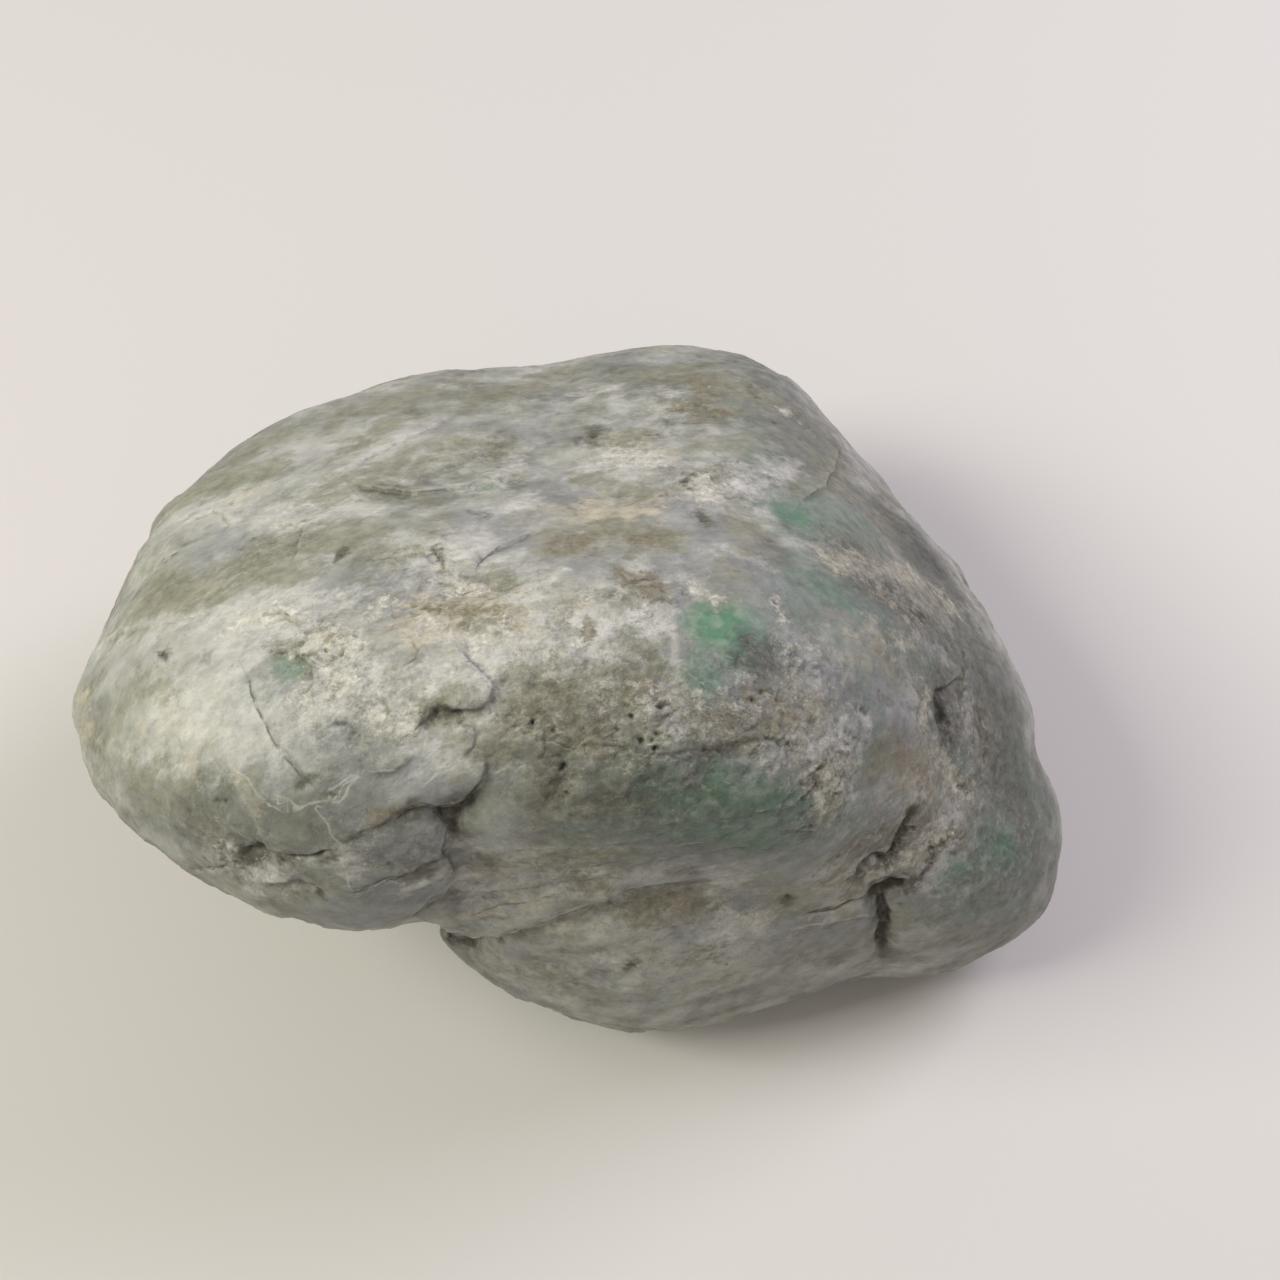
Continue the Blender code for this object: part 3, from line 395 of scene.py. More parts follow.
        (3, 0.9, [(862, 560), (884, 570)]), (4, 0.8, [(934, 590), (950, 606)]),
        (4, 0.8, [(906, 616), (930, 606)]), (4, 0.7, [(880, 592), (900, 600)]),
        (3, 0.9, [(950, 778), (968, 796)]), (3, 0.8, [(930, 842), (946, 832)]),
        (4, 1.0, [(896, 862), (916, 852), (938, 838)]), (3.4, 0.8, [(868, 878), (880, 870)]),
        (3, 0.9, [(924, 700), (926, 720)]), (3, 0.6, [(896, 642), (912, 636)]),
        (3.4, 0.8, [(936, 744), (950, 770)]), (3, 0.6, [(872, 620), (880, 640)]),
    ],
    "tan": [  # warm, peach-grey
        (4, 0.8, [(832, 560), (860, 566)]), (4, 0.8, [(892, 572), (916, 578)]),
        (5, 0.6, [(924, 600), (940, 610)]), (8, 1.0, [(432, 616), (470, 608), (500, 616)]),
        (4, 0.8, [(238, 498), (254, 492)]), (8, 0.8, [(596, 512), (636, 508)]),
        (6, 0.7, [(180, 600), (200, 592)]), (6, 0.7, [(620, 444), (650, 452)]),
        (7, 0.6, [(160, 718), (200, 732)]), (5, 0.6, [(76, 700), (90, 740)]),
        (6, 0.5, [(470, 878), (540, 862)]), (7, 0.5, [(480, 908), (540, 905)]),
        (6, 0.6, [(900, 584), (930, 596)]), (5, 0.6, [(904, 776), (920, 780)]),
        (6, 0.5, [(870, 640), (850, 650)]), (5, 0.5, [(430, 540), (445, 560)]),
        (4, 0.35, [(230, 782), (254, 794)]), (8, 0.4, [(560, 920), (620, 930)]),
        (6, 0.5, [(700, 985), (740, 975)]), (6, 0.6, [(850, 875), (838, 900)]),
        (6, 0.5, [(590, 600), (560, 616)]),
    ],
    "slate": [  # smooth, grey-lavender
        (7, 0.42, [(110, 660), (140, 646), (170, 650)]), (6, 0.7, [(190, 560), (225, 548), (240, 540)]),
        (9, 0.8, [(330, 590), (380, 580), (430, 596)]), (9, 0.7, [(480, 520), (540, 540), (590, 560)]),
        (8, 0.7, [(560, 500), (570, 480)]), (8, 0.8, [(660, 510), (690, 500), (720, 540)]),
        (9, 0.7, [(700, 560), (760, 580)]), (6, 0.8, [(725, 680), (745, 700)]),
        (2.6, 1.1, [(664, 560), (671, 610), (674, 660), (675, 710), (677, 752)]),
        (9, 0.8, [(870, 680), (900, 730)]), (7, 0.8, [(800, 660), (830, 690)]),
        (6, 0.4, [(900, 530), (930, 560)]), (7, 1.0, [(256, 700), (262, 664), (280, 690)]),
        (9, 0.8, [(290, 760), (330, 750), (350, 780)]), (8, 0.8, [(360, 800), (420, 780)]),
        (8, 0.8, [(360, 860), (420, 840)]), (9, 0.9, [(350, 912), (400, 905), (440, 888)]),
        (9, 0.7, [(500, 790), (520, 820)]), (8, 0.7, [(770, 940), (850, 930)]),
        (6, 0.7, [(780, 790), (800, 800)]), (8, 0.6, [(740, 770), (790, 760)]),
        (9, 0.5, [(490, 915), (540, 905)]), (8, 0.6, [(470, 980), (540, 1005)]),
        (7, 0.7, [(860, 800), (890, 820)]), (7, 0.7, [(760, 900), (700, 930)]),
        (8, 0.6, [(620, 870), (700, 862)]), (8, 0.6, [(530, 430), (560, 440)]),
        (8, 0.6, [(780, 860), (840, 850)]), (6, 0.6, [(385, 600), (400, 620)]),
        (9, 0.6, [(900, 900), (950, 900)]),
    ],
    "teal": [  # bluish green
        (8, 1.0, [(790, 518), (830, 512), (860, 525)]), (6, 1.0, [(815, 585), (850, 600), (880, 615)]),
        (7, 0.7, [(805, 560), (800, 590)]), (5, 0.8, [(742, 640), (760, 655)]),
        (5, 0.7, [(702, 670), (700, 684)]), (7, 0.4, [(896, 520), (926, 548)]),
        (4, 0.8, [(950, 756), (966, 760)]), (5, 0.5, [(946, 876), (958, 868)]),
        (7, 0.8, [(990, 840), (1020, 860)]), (9, 0.6, [(960, 900), (1010, 900)]),
        (8, 0.6, [(1020, 760), (1040, 820)]), (7, 0.8, [(666, 830), (640, 836)]),
        (10, 0.95, [(672, 796), (700, 812), (760, 826), (800, 832)]),
        (6, 0.7, [(580, 834), (620, 828)]), (7, 0.5, [(760, 470), (740, 410)]),
        (8, 0.5, [(850, 640), (870, 720)]), (5, 0.5, [(470, 480), (495, 490)]),
        (5, 0.5, [(290, 664), (282, 680)]), (8, 0.4, [(660, 990), (720, 985)]),
        (7, 0.5, [(910, 650), (930, 660)]), (7, 0.6, [(830, 800), (850, 820)]),
        (6, 0.5, [(650, 850), (680, 845)]), (7, 0.5, [(750, 600), (790, 620)]),
    ],
    "emerald": [  # chrome-green spots
        (5.2, 1.2, [(718, 625), (733, 630)]), (3.4, 0.45, [(744, 640), (754, 648)]),
        (4, 0.38, [(284, 666), (298, 672)]), (5, 0.42, [(668, 796), (700, 788), (722, 796)]),
        (4.4, 0.62, [(738, 803), (760, 800), (782, 800)]), (4, 0.6, [(786, 514), (800, 518)]),
        (5, 0.5, [(700, 664), (706, 676)]), (4, 0.5, [(944, 874), (956, 868)]),
        (4, 0.5, [(1000, 842), (1010, 850)]), (5, 0.5, [(700, 830), (760, 840)]),
        (4, 0.4, [(826, 590), (850, 606)]),
    ],
    "shade": [  # dark grains and soil, and painted shade in the cracks, holes and hollows and over the right side
        (1.2, 1.0, [(163, 655), (167, 650)]), (1.1, 1.0, [(164, 560), (170, 557)]),
        (1.2, 1.2, [(339, 558), (343, 550)]), (2.2, 0.9, [(592, 444), (600, 430)]),
        (1.6, 0.8, [(576, 444), (580, 438)]), (1.6, 0.9, [(683, 484), (687, 474)]),
        (1.8, 0.9, [(698, 512), (708, 526)]), (1.2, 0.7, [(660, 496), (664, 498)]),
        (1.6, 0.9, [(436, 550), (440, 558)]), (1.6, 0.9, [(430, 712), (460, 713)]),
        (1.8, 1.0, [(440, 814), (452, 811)]), (1.4, 0.6, [(456, 808), (478, 794)]),
        (1.3, 0.8, [(446, 816), (454, 836)]), (1.8, 1.0, [(398, 818), (418, 806)]),
        (2.4, 1.1, [(244, 856), (264, 848)]), (1.6, 1.0, [(284, 858), (332, 853)]),
        (1.4, 0.9, [(300, 786), (306, 778), (314, 778)]), (1.8, 1.1, [(416, 876), (430, 864)]),
        (1.6, 0.8, [(300, 896), (320, 893)]), (2.2, 0.9, [(434, 938), (476, 941)]),
        (1.2, 0.8, [(412, 916), (428, 905), (450, 893)]),
        (1.6, 1.2, [(914, 808), (904, 830), (894, 851)]),
        (1.6, 1.2, [(885, 858), (866, 863), (856, 877)]),
        (2.2, 1.2, [(868, 893), (884, 888), (908, 883)]),
        (2.0, 1.2, [(880, 892), (884, 922), (883, 952)]), (2.2, 1.0, [(936, 694), (944, 706)]),
        (3.2, 0.9, [(944, 716), (946, 736)]), (3, 0.6, [(960, 690), (954, 720)]),
        # painted shade in the round holes
        (1.1, 1.0, [(641, 738), (642, 740)]), (1.1, 1.0, [(655, 748), (656, 752)]),
        (1.2, 0.9, [(660, 704), (664, 700)]), (1.1, 0.9, [(566, 792), (567, 794)]),
        (1.1, 0.8, [(563, 768), (564, 770)]), (1.1, 0.9, [(532, 721), (533, 723)]),
        (1.4, 1.1, [(630, 966), (635, 961)]), (2.4, 0.6, [(554, 796), (562, 776)]),
        (1.6, 0.8, [(820, 766), (812, 784)]), (2, 0.7, [(668, 872), (690, 868)]),
        (1.8, 0.9, [(784, 896), (788, 902)]), (1.6, 0.8, [(922, 878), (932, 860), (934, 848)]),
        (2, 0.7, [(366, 487), (412, 492)]), (1.4, 0.8, [(468, 512), (486, 516)]),
        (1.2, 0.8, [(912, 612), (922, 618)]), (1.4, 0.7, [(850, 544), (866, 548)]),
        (1.6, 0.8, [(748, 388), (754, 396)]), (1.6, 0.7, [(778, 696), (800, 700)]),
        (1.4, 0.8, [(790, 746), (786, 742)]), (1.4, 0.7, [(224, 800), (225, 803)]),
        (1.6, 0.8, [(484, 856), (494, 868)]), (1.6, 0.6, [(884, 700), (890, 706)]),
        # painted shade over the right side and in the recess
        (3.4, 0.75, [(746, 642), (760, 658)]), (2.6, 0.5, [(936, 680), (944, 690)]),
        (7, 0.7, [(892, 520), (912, 534), (930, 556)]), (6, 0.5, [(960, 600), (984, 650), (990, 690)]),
        (5, 0.65, [(942, 690), (950, 730)]),
        (12, 0.36, [(905, 545), (965, 640), (1005, 740), (1025, 850)]),
        (9, 0.3, [(590, 700), (640, 780), (700, 760)]), (5, 0.35, [(850, 470), (872, 496)]),
        (2.2, 0.6, [(980, 720), (984, 740)]),
    ],
}

# Painted shade: parts where the whole skin is darkened to stand in for the shade that falls there: width
# in mm, how much, path.
paintedShadeZones = [
    (13, 0.40, [(884, 590), (935, 625), (990, 690), (1010, 760)]), (8, 0.44, [(900, 528), (934, 566)]),
    (4.5, 0.45, [(756, 648), (771, 664)]), (12, 0.34, [(560, 765), (620, 790), (690, 800), (700, 770)]),
    (9, 0.30, [(690, 700), (740, 730)]), (7, 0.40, [(936, 690), (950, 730)]),
    (10, 0.16, [(215, 815), (290, 820), (345, 805)]), (12, 0.20, [(900, 925), (960, 940), (1030, 885)]),
    (11, 0.12, [(690, 845), (760, 850)]), (8, 0.12, [(840, 470), (860, 500)]),
    (9, 0.14, [(395, 850), (440, 850)]), (8, 0.10, [(880, 700), (905, 740)]),
]

# Hairlines, by half their width in mm: pale veins and worn edges with painted rim highlights along the
# toe's lower edge, and dark cracks with painted shade in them.
paleVeinsAndRimLight = [
    (0.35, [(666, 575), (671, 610), (674, 660), (675, 710), (677, 752)]),
    (0.1, [(461, 650), (469, 663), (479, 672), (491, 683), (493, 690), (489, 702), (478, 709)]),
    (0.1, [(263, 802), (276, 808), (286, 813), (297, 811), (312, 803), (332, 801)]),
    (0.1, [(332, 801), (328, 792), (335, 787), (346, 778), (353, 774), (362, 770)]),
    (0.1, [(330, 803), (340, 801), (347, 795), (351, 783)]),
    (0.1, [(351, 783), (360, 774), (378, 772), (400, 770)]),
    (0.1, [(312, 804), (326, 820), (332, 835), (341, 845), (343, 862), (349, 885), (353, 892)]),
    (0.1, [(228, 764), (248, 778), (256, 792), (264, 802)]),
    (0.1, [(276, 796), (288, 800), (296, 808)]),
    (0.1, [(393, 820), (406, 808), (420, 804), (441, 807), (458, 803), (472, 793), (482, 782),
        (484, 771)]),
    (0.1, [(484, 771), (483, 764), (473, 763), (466, 756)]),
    (0.1, [(488, 779), (496, 774), (505, 770), (512, 763)]),
    (0.1, [(454, 717), (456, 724), (472, 729), (474, 736), (471, 747), (465, 755)]),
    (0.1, [(515, 732), (522, 726), (530, 719)]),
    (0.1, [(545, 743), (560, 744), (570, 748), (577, 744)]),
    (0.1, [(593, 745), (612, 748), (628, 747), (634, 755), (654, 756), (659, 750)]),
    (0.1, [(660, 752), (682, 751), (702, 752)]),
    (0.1, [(412, 918), (434, 925), (446, 931), (469, 937), (499, 936)]),
    (0.1, [(499, 936), (519, 931), (547, 922), (577, 912), (602, 903)]),
    (0.1, [(411, 917), (428, 904), (446, 894), (456, 878)]),
    (0.1, [(350, 892), (374, 885), (387, 880), (402, 884)]),
    (0.1, [(401, 892), (416, 888), (428, 884), (439, 874), (454, 870)]),
    (0.1, [(282, 855), (292, 856), (300, 859)]), (0.1, [(219, 869), (242, 866), (262, 868)]),
    (0.1, [(751, 811), (764, 811), (780, 809), (794, 805), (804, 794)]),
    (0.1, [(804, 794), (813, 785), (814, 776)]),
    (0.1, [(781, 833), (790, 830), (799, 829), (816, 830)]),
    (0.1, [(673, 847), (684, 843), (703, 842)]),
    (0.1, [(794, 929), (810, 926), (835, 921), (860, 916), (873, 915)]),
    # painted rim highlight along the lower edge of the toe
    (0.1, [(813, 982), (835, 975), (855, 964), (873, 957)]),
    (0.1, [(882, 964), (909, 966), (943, 964), (976, 954), (1004, 938)]),
    (0.1, [(962, 649), (966, 666), (965, 681), (967, 698), (966, 714)]),
    (0.1, [(922, 676), (926, 690), (923, 704), (924, 718)]),
    (0.1, [(441, 579), (455, 583), (468, 587), (484, 584)]),
    (0.1, [(476, 566), (487, 552), (501, 543), (520, 534), (530, 530)]),
    (0.1, [(519, 595), (530, 590), (542, 583), (558, 574), (570, 566)]),
    (0.1, [(350, 472), (364, 459), (380, 449), (391, 445), (410, 436), (428, 427), (445, 418)]),
    (0.1, [(245, 598), (262, 592), (280, 590), (300, 594), (330, 592)]),
    (0.1, [(252, 614), (270, 606), (286, 615), (306, 616)]),
    (0.1, [(306, 616), (330, 612), (352, 604), (372, 590)]),
    (0.1, [(152, 632), (172, 622), (196, 618), (208, 612)]),
    (0.1, [(100, 650), (118, 638), (140, 629)]),
    (0.1, [(228, 512), (236, 522), (250, 518), (268, 516), (276, 524), (290, 522)]),
    (0.1, [(340, 512), (352, 507), (366, 506)]),
    (0.1, [(660, 690), (664, 672), (672, 660), (684, 660)]),
    (0.1, [(396, 640), (420, 640), (444, 646), (461, 650)]),
    (0.1, [(466, 756), (452, 770), (436, 774), (420, 790)]),
    (0.1, [(586, 852), (600, 846), (620, 842)]), (0.1, [(704, 898), (720, 902), (740, 914)]),
    (0.1, [(640, 620), (655, 628), (668, 624), (674, 612)]),
]
# dark cracks: their own dark, and painted shade in them
darkCracksAndShade = [
    (0.1, [(239, 659), (247, 676), (252, 695), (259, 712), (266, 726), (280, 750), (292, 766),
        (303, 779)]),
    (0.1, [(303, 779), (306, 790), (300, 800)]),
    (0.1, [(476, 568), (486, 555), (500, 546), (522, 536)]),
    (0.1, [(393, 821), (408, 810), (422, 806), (441, 809), (456, 806)]),
    (0.1, [(350, 893), (374, 887), (388, 881), (412, 873)]),
    (0.1, [(780, 834), (798, 832), (818, 831)]),
    (0.1, [(804, 797), (812, 788), (815, 770), (826, 763)]),
    (0.1, [(781, 829), (790, 827), (800, 826), (812, 827), (820, 825)]),
    (0.1, [(919, 829), (910, 831), (903, 834)]), (0.1, [(858, 874), (852, 884), (846, 892)]),
    (0.1, [(840, 886), (850, 878), (860, 872)]),
    (0.1, [(806, 914), (820, 911), (835, 908), (851, 901), (866, 897)]),
    (0.1, [(866, 897), (880, 892)]),
    (0.1, [(934, 846), (933, 856), (929, 869), (921, 879), (918, 882)]),
    (0.1, [(870, 917), (874, 918), (880, 917)]),
    (0.1, [(440, 855), (444, 844), (446, 828), (438, 815)]),
    (0.1, [(190, 868), (219, 868), (226, 865), (242, 864)]),
    (0.1, [(366, 486), (380, 488), (400, 492), (428, 492), (447, 488)]),
    (0.1, [(450, 590), (462, 595), (470, 592)]),
    (0.1, [(340, 843), (358, 837), (374, 829), (390, 822)]),
    (0.1, [(556, 742), (566, 746), (578, 748)]), (0.1, [(600, 744), (616, 746)]),
    (0.1, [(712, 744), (722, 741)]), (0.1, [(762, 736), (774, 739), (784, 743)]),
    (0.1, [(276, 606), (285, 614), (296, 620)]), (0.1, [(296, 650), (306, 656), (316, 664)]),
    (0.1, [(618, 574), (630, 582), (650, 579)]), (0.1, [(835, 469), (826, 484), (810, 495)]),
    (0.1, [(960, 640), (964, 655), (963, 672)]), (0.1, [(640, 690), (632, 702), (622, 708)]),
    (0.1, [(430, 716), (422, 723), (416, 730)]), (0.1, [(412, 916), (420, 912), (434, 902)]),
    (0.1, [(477, 942), (452, 940), (436, 936)]),
    (0.1, [(470, 916), (500, 905), (530, 902), (560, 894)]),
    (0.1, [(588, 868), (610, 862), (640, 858)]),
]


# The way from the eye through a place in its picture.
def viewRay(across, down):
    half = view["frame"] / 2
    target = view["centre"] + viewRight * ((across - half) / view["pxPerMm"])
    return target + viewUp * ((half - down) / view["pxPerMm"]) - view["eye"]


# Places along the path, about spacing px apart.
def evenly(path, spacing=3.0):
    places = [np.array(path[0], float)]
    for start, end in zip(path[:-1], path[1:]):
        start, end = np.array(start, float), np.array(end, float)
        count = max(1, int(round(np.linalg.norm(end - start) / spacing)))
        places += [start + (end - start) * (i + 1) / count for i in range(count)]
    return places


# The path cast from the eye on to the skin, in mm.
def layOnSkin(skin, path):
    laid = []
    for across, down in evenly(path):
        hit = skin.ray_cast(view["eye"], viewRay(across, down))[0]
        if hit is not None:
            laid.append(hit)
    return np.array(laid)


# Which points are within reach of the path, how far, the step to them, and how far along.
def nearPath(points, laid, reach):
    low, high = laid.min(0) - reach, laid.max(0) + reach
    near = np.flatnonzero(((points > low) & (points < high)).all(1))
    if len(laid) == 1:
        laid = np.vstack([laid, laid + 0.01])
    start, course = laid[:-1], laid[1:] - laid[:-1]
    length2 = np.maximum((course ** 2).sum(1), 1e-9)
    offset = points[near][:, None] - start[None]
    share = np.clip((offset * course).sum(2) / length2, 0, 1)
    gap = offset - share[..., None] * course
    distance = np.sqrt((gap ** 2).sum(2))
    best = distance.argmin(1)
    row = np.arange(len(near))
    inside = distance[row, best] < reach
    row, near, best = row[inside], near[inside], best[inside]
    along = (best + share[row, best]) / len(course)
    return near, distance[row, best], gap[row, best], course[best], along


def softEnds(along, share=0.16):
    return np.clip(np.minimum(along, 1 - along) / share + 0.15, 0, 1)


def smoothStep(value):
    value = np.clip(value, 0, 1)
    return value * value * (3 - 2 * value)


# Fractal noise on the points, about -1 to 1, with its largest lumps near size mm.
def noiseAt(points, size, octaves=3, seed=0.0):
    offset = Vector((seed * 17.3, seed * 5.1, seed * 9.7))
    return np.array([noise.fractal(Vector(p) / size + offset, 0.9, 2.0, octaves) for p in points])


# Points squeezed along the bedding, so that a pattern read there is drawn out along it.
def alongBedding(points):
    way = np.array(stoneShape["bedding"])
    run = points @ way
    return points - np.outer(run, way) * (1 - 1 / stoneShape["beddingStretch"])


def readMesh(piece):
    count = len(piece.data.vertices)
    points, normals = np.empty(count * 3), np.empty(count * 3)
    piece.data.vertices.foreach_get("co", points)
    piece.data.vertices.foreach_get("normal", normals)
    return points.reshape(-1, 3) / mm, normals.reshape(-1, 3)


def writeMesh(piece, points):
    piece.data.vertices.foreach_set("co", (points * mm).ravel())
    piece.data.update()


def applyModifier(piece, kind, **settings):
    modifier = piece.modifiers.new(kind.title(), kind)
    for name, value in settings.items():
        setattr(modifier, name, value)
    bpy.ops.object.modifier_apply(modifier=modifier.name)


# A tree for casting on the piece, in mm.
def skinOf(piece):
    points = [v.co / mm for v in piece.data.vertices]
    return BVHTree.FromPolygons(points, [tuple(p.vertices) for p in piece.data.polygons])


# The CAD stone's mesh in a new object, merged, worn smooth and made fine.
def copyStone():
    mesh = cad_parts["jade_boulder"].data.copy()
    mesh.materials.clear()
    piece = bpy.data.objects.new("raw_jade_skin", mesh)
    bpy.context.scene.collection.objects.link(piece)
    bpy.ops.object.select_all(action="DESELECT")
    piece.select_set(True)
    bpy.context.view_layer.objects.active = piece
    bpy.ops.object.mode_set(mode="EDIT")
    bpy.ops.mesh.select_all(action="SELECT")
    bpy.ops.mesh.remove_doubles(threshold=0.01 * mm)
    bpy.ops.mesh.normals_make_consistent(inside=False)
    bpy.ops.object.mode_set(mode="OBJECT")
    applyModifier(piece, "REMESH", mode="VOXEL", voxel_size=stoneShape["grain"] * mm)
    applyModifier(piece, "SMOOTH", factor=0.5, iterations=stoneShape["wear"])
    applyModifier(piece, "SUBSURF", levels=1, render_levels=1)
    return piece


# Everything drawn as a thin line or a spot, where the mesh has to be finer.
def thinPaths():
    paths = [step["path"] for step in steps.values()] + [cut["path"] for cut in cuts.values()]
    paths += [path for _, path in paleVeinsAndRimLight + darkCracksAndShade] + [path for _, _, path in clotZones]
    return paths + [[(across, down)] for across, down, _, _ in holes]


def refineSkin(piece):
    points = readMesh(piece)[0]
    skin = skinOf(piece)
    close = np.zeros(len(points), dtype=bool)
    for path in thinPaths():
        laid = layOnSkin(skin, path)
        if len(laid):
            close[nearPath(points, laid, stoneShape["fineReach"])[0]] = True
    bpy.ops.object.mode_set(mode="EDIT")
    bpy.ops.mesh.select_all(action="DESELECT")
    bpy.ops.object.mode_set(mode="OBJECT")
    piece.data.vertices.foreach_set("select", close)
    bpy.ops.object.mode_set(mode="EDIT")
    bpy.ops.mesh.select_mode(type="VERT")
    bpy.ops.mesh.subdivide(number_cuts=1)
    bpy.ops.mesh.quads_convert_to_tris()
    bpy.ops.object.mode_set(mode="OBJECT")
    print("skin made finer along", len(thinPaths()), "paths")


def stepRelief(points, normals, skin):
    shift = np.zeros(len(points))
    for step in steps.values():
        laid = layOnSkin(skin, step["path"])
        near, distance, gap, course, along = nearPath(points, laid, step["reach"])
        course = course / np.maximum(np.linalg.norm(course, axis=1), 1e-9)[:, None]
        aside = (gap * np.cross(normals[near], course)).sum(1)
        edge = np.tanh(aside / stoneShape["flakeEdge"])
        height = np.where(edge > 0, edge * step["rise"], edge * step["drop"])
        shift[near] += height * (1 - distance / step["reach"]) ** 1.6 * softEnds(along)
    return shift


# The section of a hollow: 1 in the middle, falling off round half its width.
def roundDent(distance, half):
    return np.exp(-((distance / half) ** 2) * 1.3)


def cutRelief(points, skin):
    shift = np.zeros(len(points))
    for cut in cuts.values():
        laid = layOnSkin(skin, cut["path"])
        near, distance, _, _, along = nearPath(points, laid, cut["half"] * 2.2)
        shift[near] -= cut["depth"] * roundDent(distance, cut["half"]) * softEnds(along, 0.22)
    for across, down, radius, depth in holes:
        laid = layOnSkin(skin, [(across, down)])
        if len(laid):
            near, distance = nearPath(points, laid, radius * 2)[:2]
            shift[near] -= depth * roundDent(distance, radius)
    return shift


# How strongly each point lies in the zones: in full on a path, falling to 0 at its width either side.
def zoneField(points, skin, zones):
    field = np.zeros(len(points))
    for wide, strength, path in zones:
        laid = layOnSkin(skin, path)
        if len(laid):
            near, distance = nearPath(points, laid, wide)[:2]
            field[near] = np.maximum(field[near], strength * (1 - distance / wide))
    return field


# 1 where the camera sees the skin well, 0 on the hidden sides.
def faceTheEye(points, normals):
    ways = np.array(view["eye"]) - points
    ways /= np.linalg.norm(ways, axis=1)[:, None]
    return smoothStep(((ways * normals).sum(1) + 0.05) / 0.3)


# Level steps with short slopes between them.
def terraces(value, count):
    value = value * count
    whole = np.floor(value)
    return (whole + smoothStep((value - whole - 0.7) / 0.3)) / count


# Small broken faces at uneven heights, in two sizes, where share is above 0.
def chipRelief(points, share):
    shift = np.zeros(len(points))
    for index in np.flatnonzero(share > 0.02):
        for size, tall in stoneShape["chips"]:
            home = noise.voronoi(Vector(points[index]) / size)[1][0]
            tilt = Vector(points[index]) / size - home
            shift[index] += tall * (noise.cell(home * 7) - 0.5 + 0.35 * tilt.x + 0.3 * tilt.y)
    return shift * share


# Cracks and pits of the sides that the camera doesn't see: a crack runs where a slow noise crosses zero.
def hiddenRelief(points, drawn):
    run, depth, thin = stoneShape["crack"]
    gap, pitDepth = stoneShape["pit"]
    line = noiseAt(drawn, run, 1, 31)
    broken = smoothStep((noiseAt(points, 15, 2, 32) - 0.05) / 0.3)
    shift = -depth * np.exp(-((line / thin) ** 2)) * broken
    for index, point in enumerate(points):
        away, homes = noise.voronoi(Vector(point) / gap)
        kind = noise.cell(homes[0] * 11)
        if kind > 0.45:  # about half of the cells have a pit
            reach = away[0] * gap / (0.3 + 0.5 * (kind - 0.45))
            shift[index] -= pitDepth * np.exp(-(reach ** 2))
    return shift


# Undulations, flakes, steps, cracks and pits, moved into the mesh.
def shapeRelief(piece):
    points, normals = readMesh(piece)
    skin = skinOf(piece)
    drawn = alongBedding(points)
    rough = zoneField(points, skin, roughZones)
    clots = zoneField(points, skin, clotZones)
    seen = faceTheEye(points, normals)
    warp = np.stack([noiseAt(points, 3.0, 3, s) for s in (1, 2, 3)], 1)
    warped = points + warp * 0.35  # the paths wander by about a third of a mm
    size, tall = stoneShape["swell"]
    shift = noiseAt(drawn, size, 3, 4) * tall
    size, tall = stoneShape["dimple"]
    shift += noiseAt(points, size, 3, 5) * tall
    flaky = smoothStep(noiseAt(points, stoneShape["flaked"], 2, 6) + 0.55)
    size, levels = stoneShape["terrace"]
    shift += terraces(noiseAt(drawn + warp * 1.2, size, 2, 7), levels) * (0.75 - 0.4 * seen) * flaky
    size, tall = stoneShape["crumb"]
    shift += noiseAt(points, size, 2, 8) * tall * smoothStep(rough * 1.6)
    shift += chipRelief(drawn + warp * 0.5, smoothStep(rough * 1.5) * seen)
    size, least, more = stoneShape["clot"]
    for index in np.flatnonzero(clots > 0.05):
        near = noise.voronoi(Vector(points[index]) / size)
        tall = least + more * noise.cell(near[1][0] * 9)
        shift[index] += min((near[0][1] - near[0][0]) * 1.6, 1) * tall * min(clots[index] * 1.8, 1)
    shift += stepRelief(warped, normals, skin)
    shift += cutRelief(warped, skin)
    shift += hiddenRelief(warped, drawn + warp * 0.7) * (1 - seen)
    shift *= smoothStep(points[:, 2] / stoneShape["footFade"])
    points = points + normals * shift[:, None]
    points[:, 2] = np.maximum(points[:, 2], 0)
    writeMesh(piece, points)
    print("relief shaped,", len(points), "points, seen share", round(float(seen.mean()), 2))


stone = copyStone()
refineSkin(stone)
print("stone copied and made fine,", len(stone.data.polygons), "faces")
shapeRelief(stone)
faceCount = sum(len(p.vertices) - 2 for p in stone.data.polygons)
applyModifier(stone, "DECIMATE", ratio=min(1, stoneShape["triangles"] / faceCount))
bpy.ops.object.shade_smooth()
print("stone thinned to", len(stone.data.polygons), "triangles")

# The colours go on round the hidden sides, as patches: lump size in mm, how rare, and a seed.
hiddenPatches = {
    "darkGroundAndShade": (20, 0.02, 10), "pale": (16, 0.05, 9), "bleach": (10, 0.12, 11), "olive": (13, 0.16, 12),
    "umber": (9, 0.38, 13), "crust": (7, 0.46, 14), "tan": (12, 0.30, 15), "slate": (14, 0.10, 16),
    "teal": (17, 0.26, 17), "emerald": (11, 0.55, 18), "shade": (3, 0.62, 19), "cream": (9, 0.50, 20),
}
hairline = {"hold": 1.4}  # mm either side of a hairline over which its distance is kept


def addField(piece, name, values):
    field = piece.data.attributes.new(name, "FLOAT", "POINT")
    field.data.foreach_set("value", values.astype(np.float32))


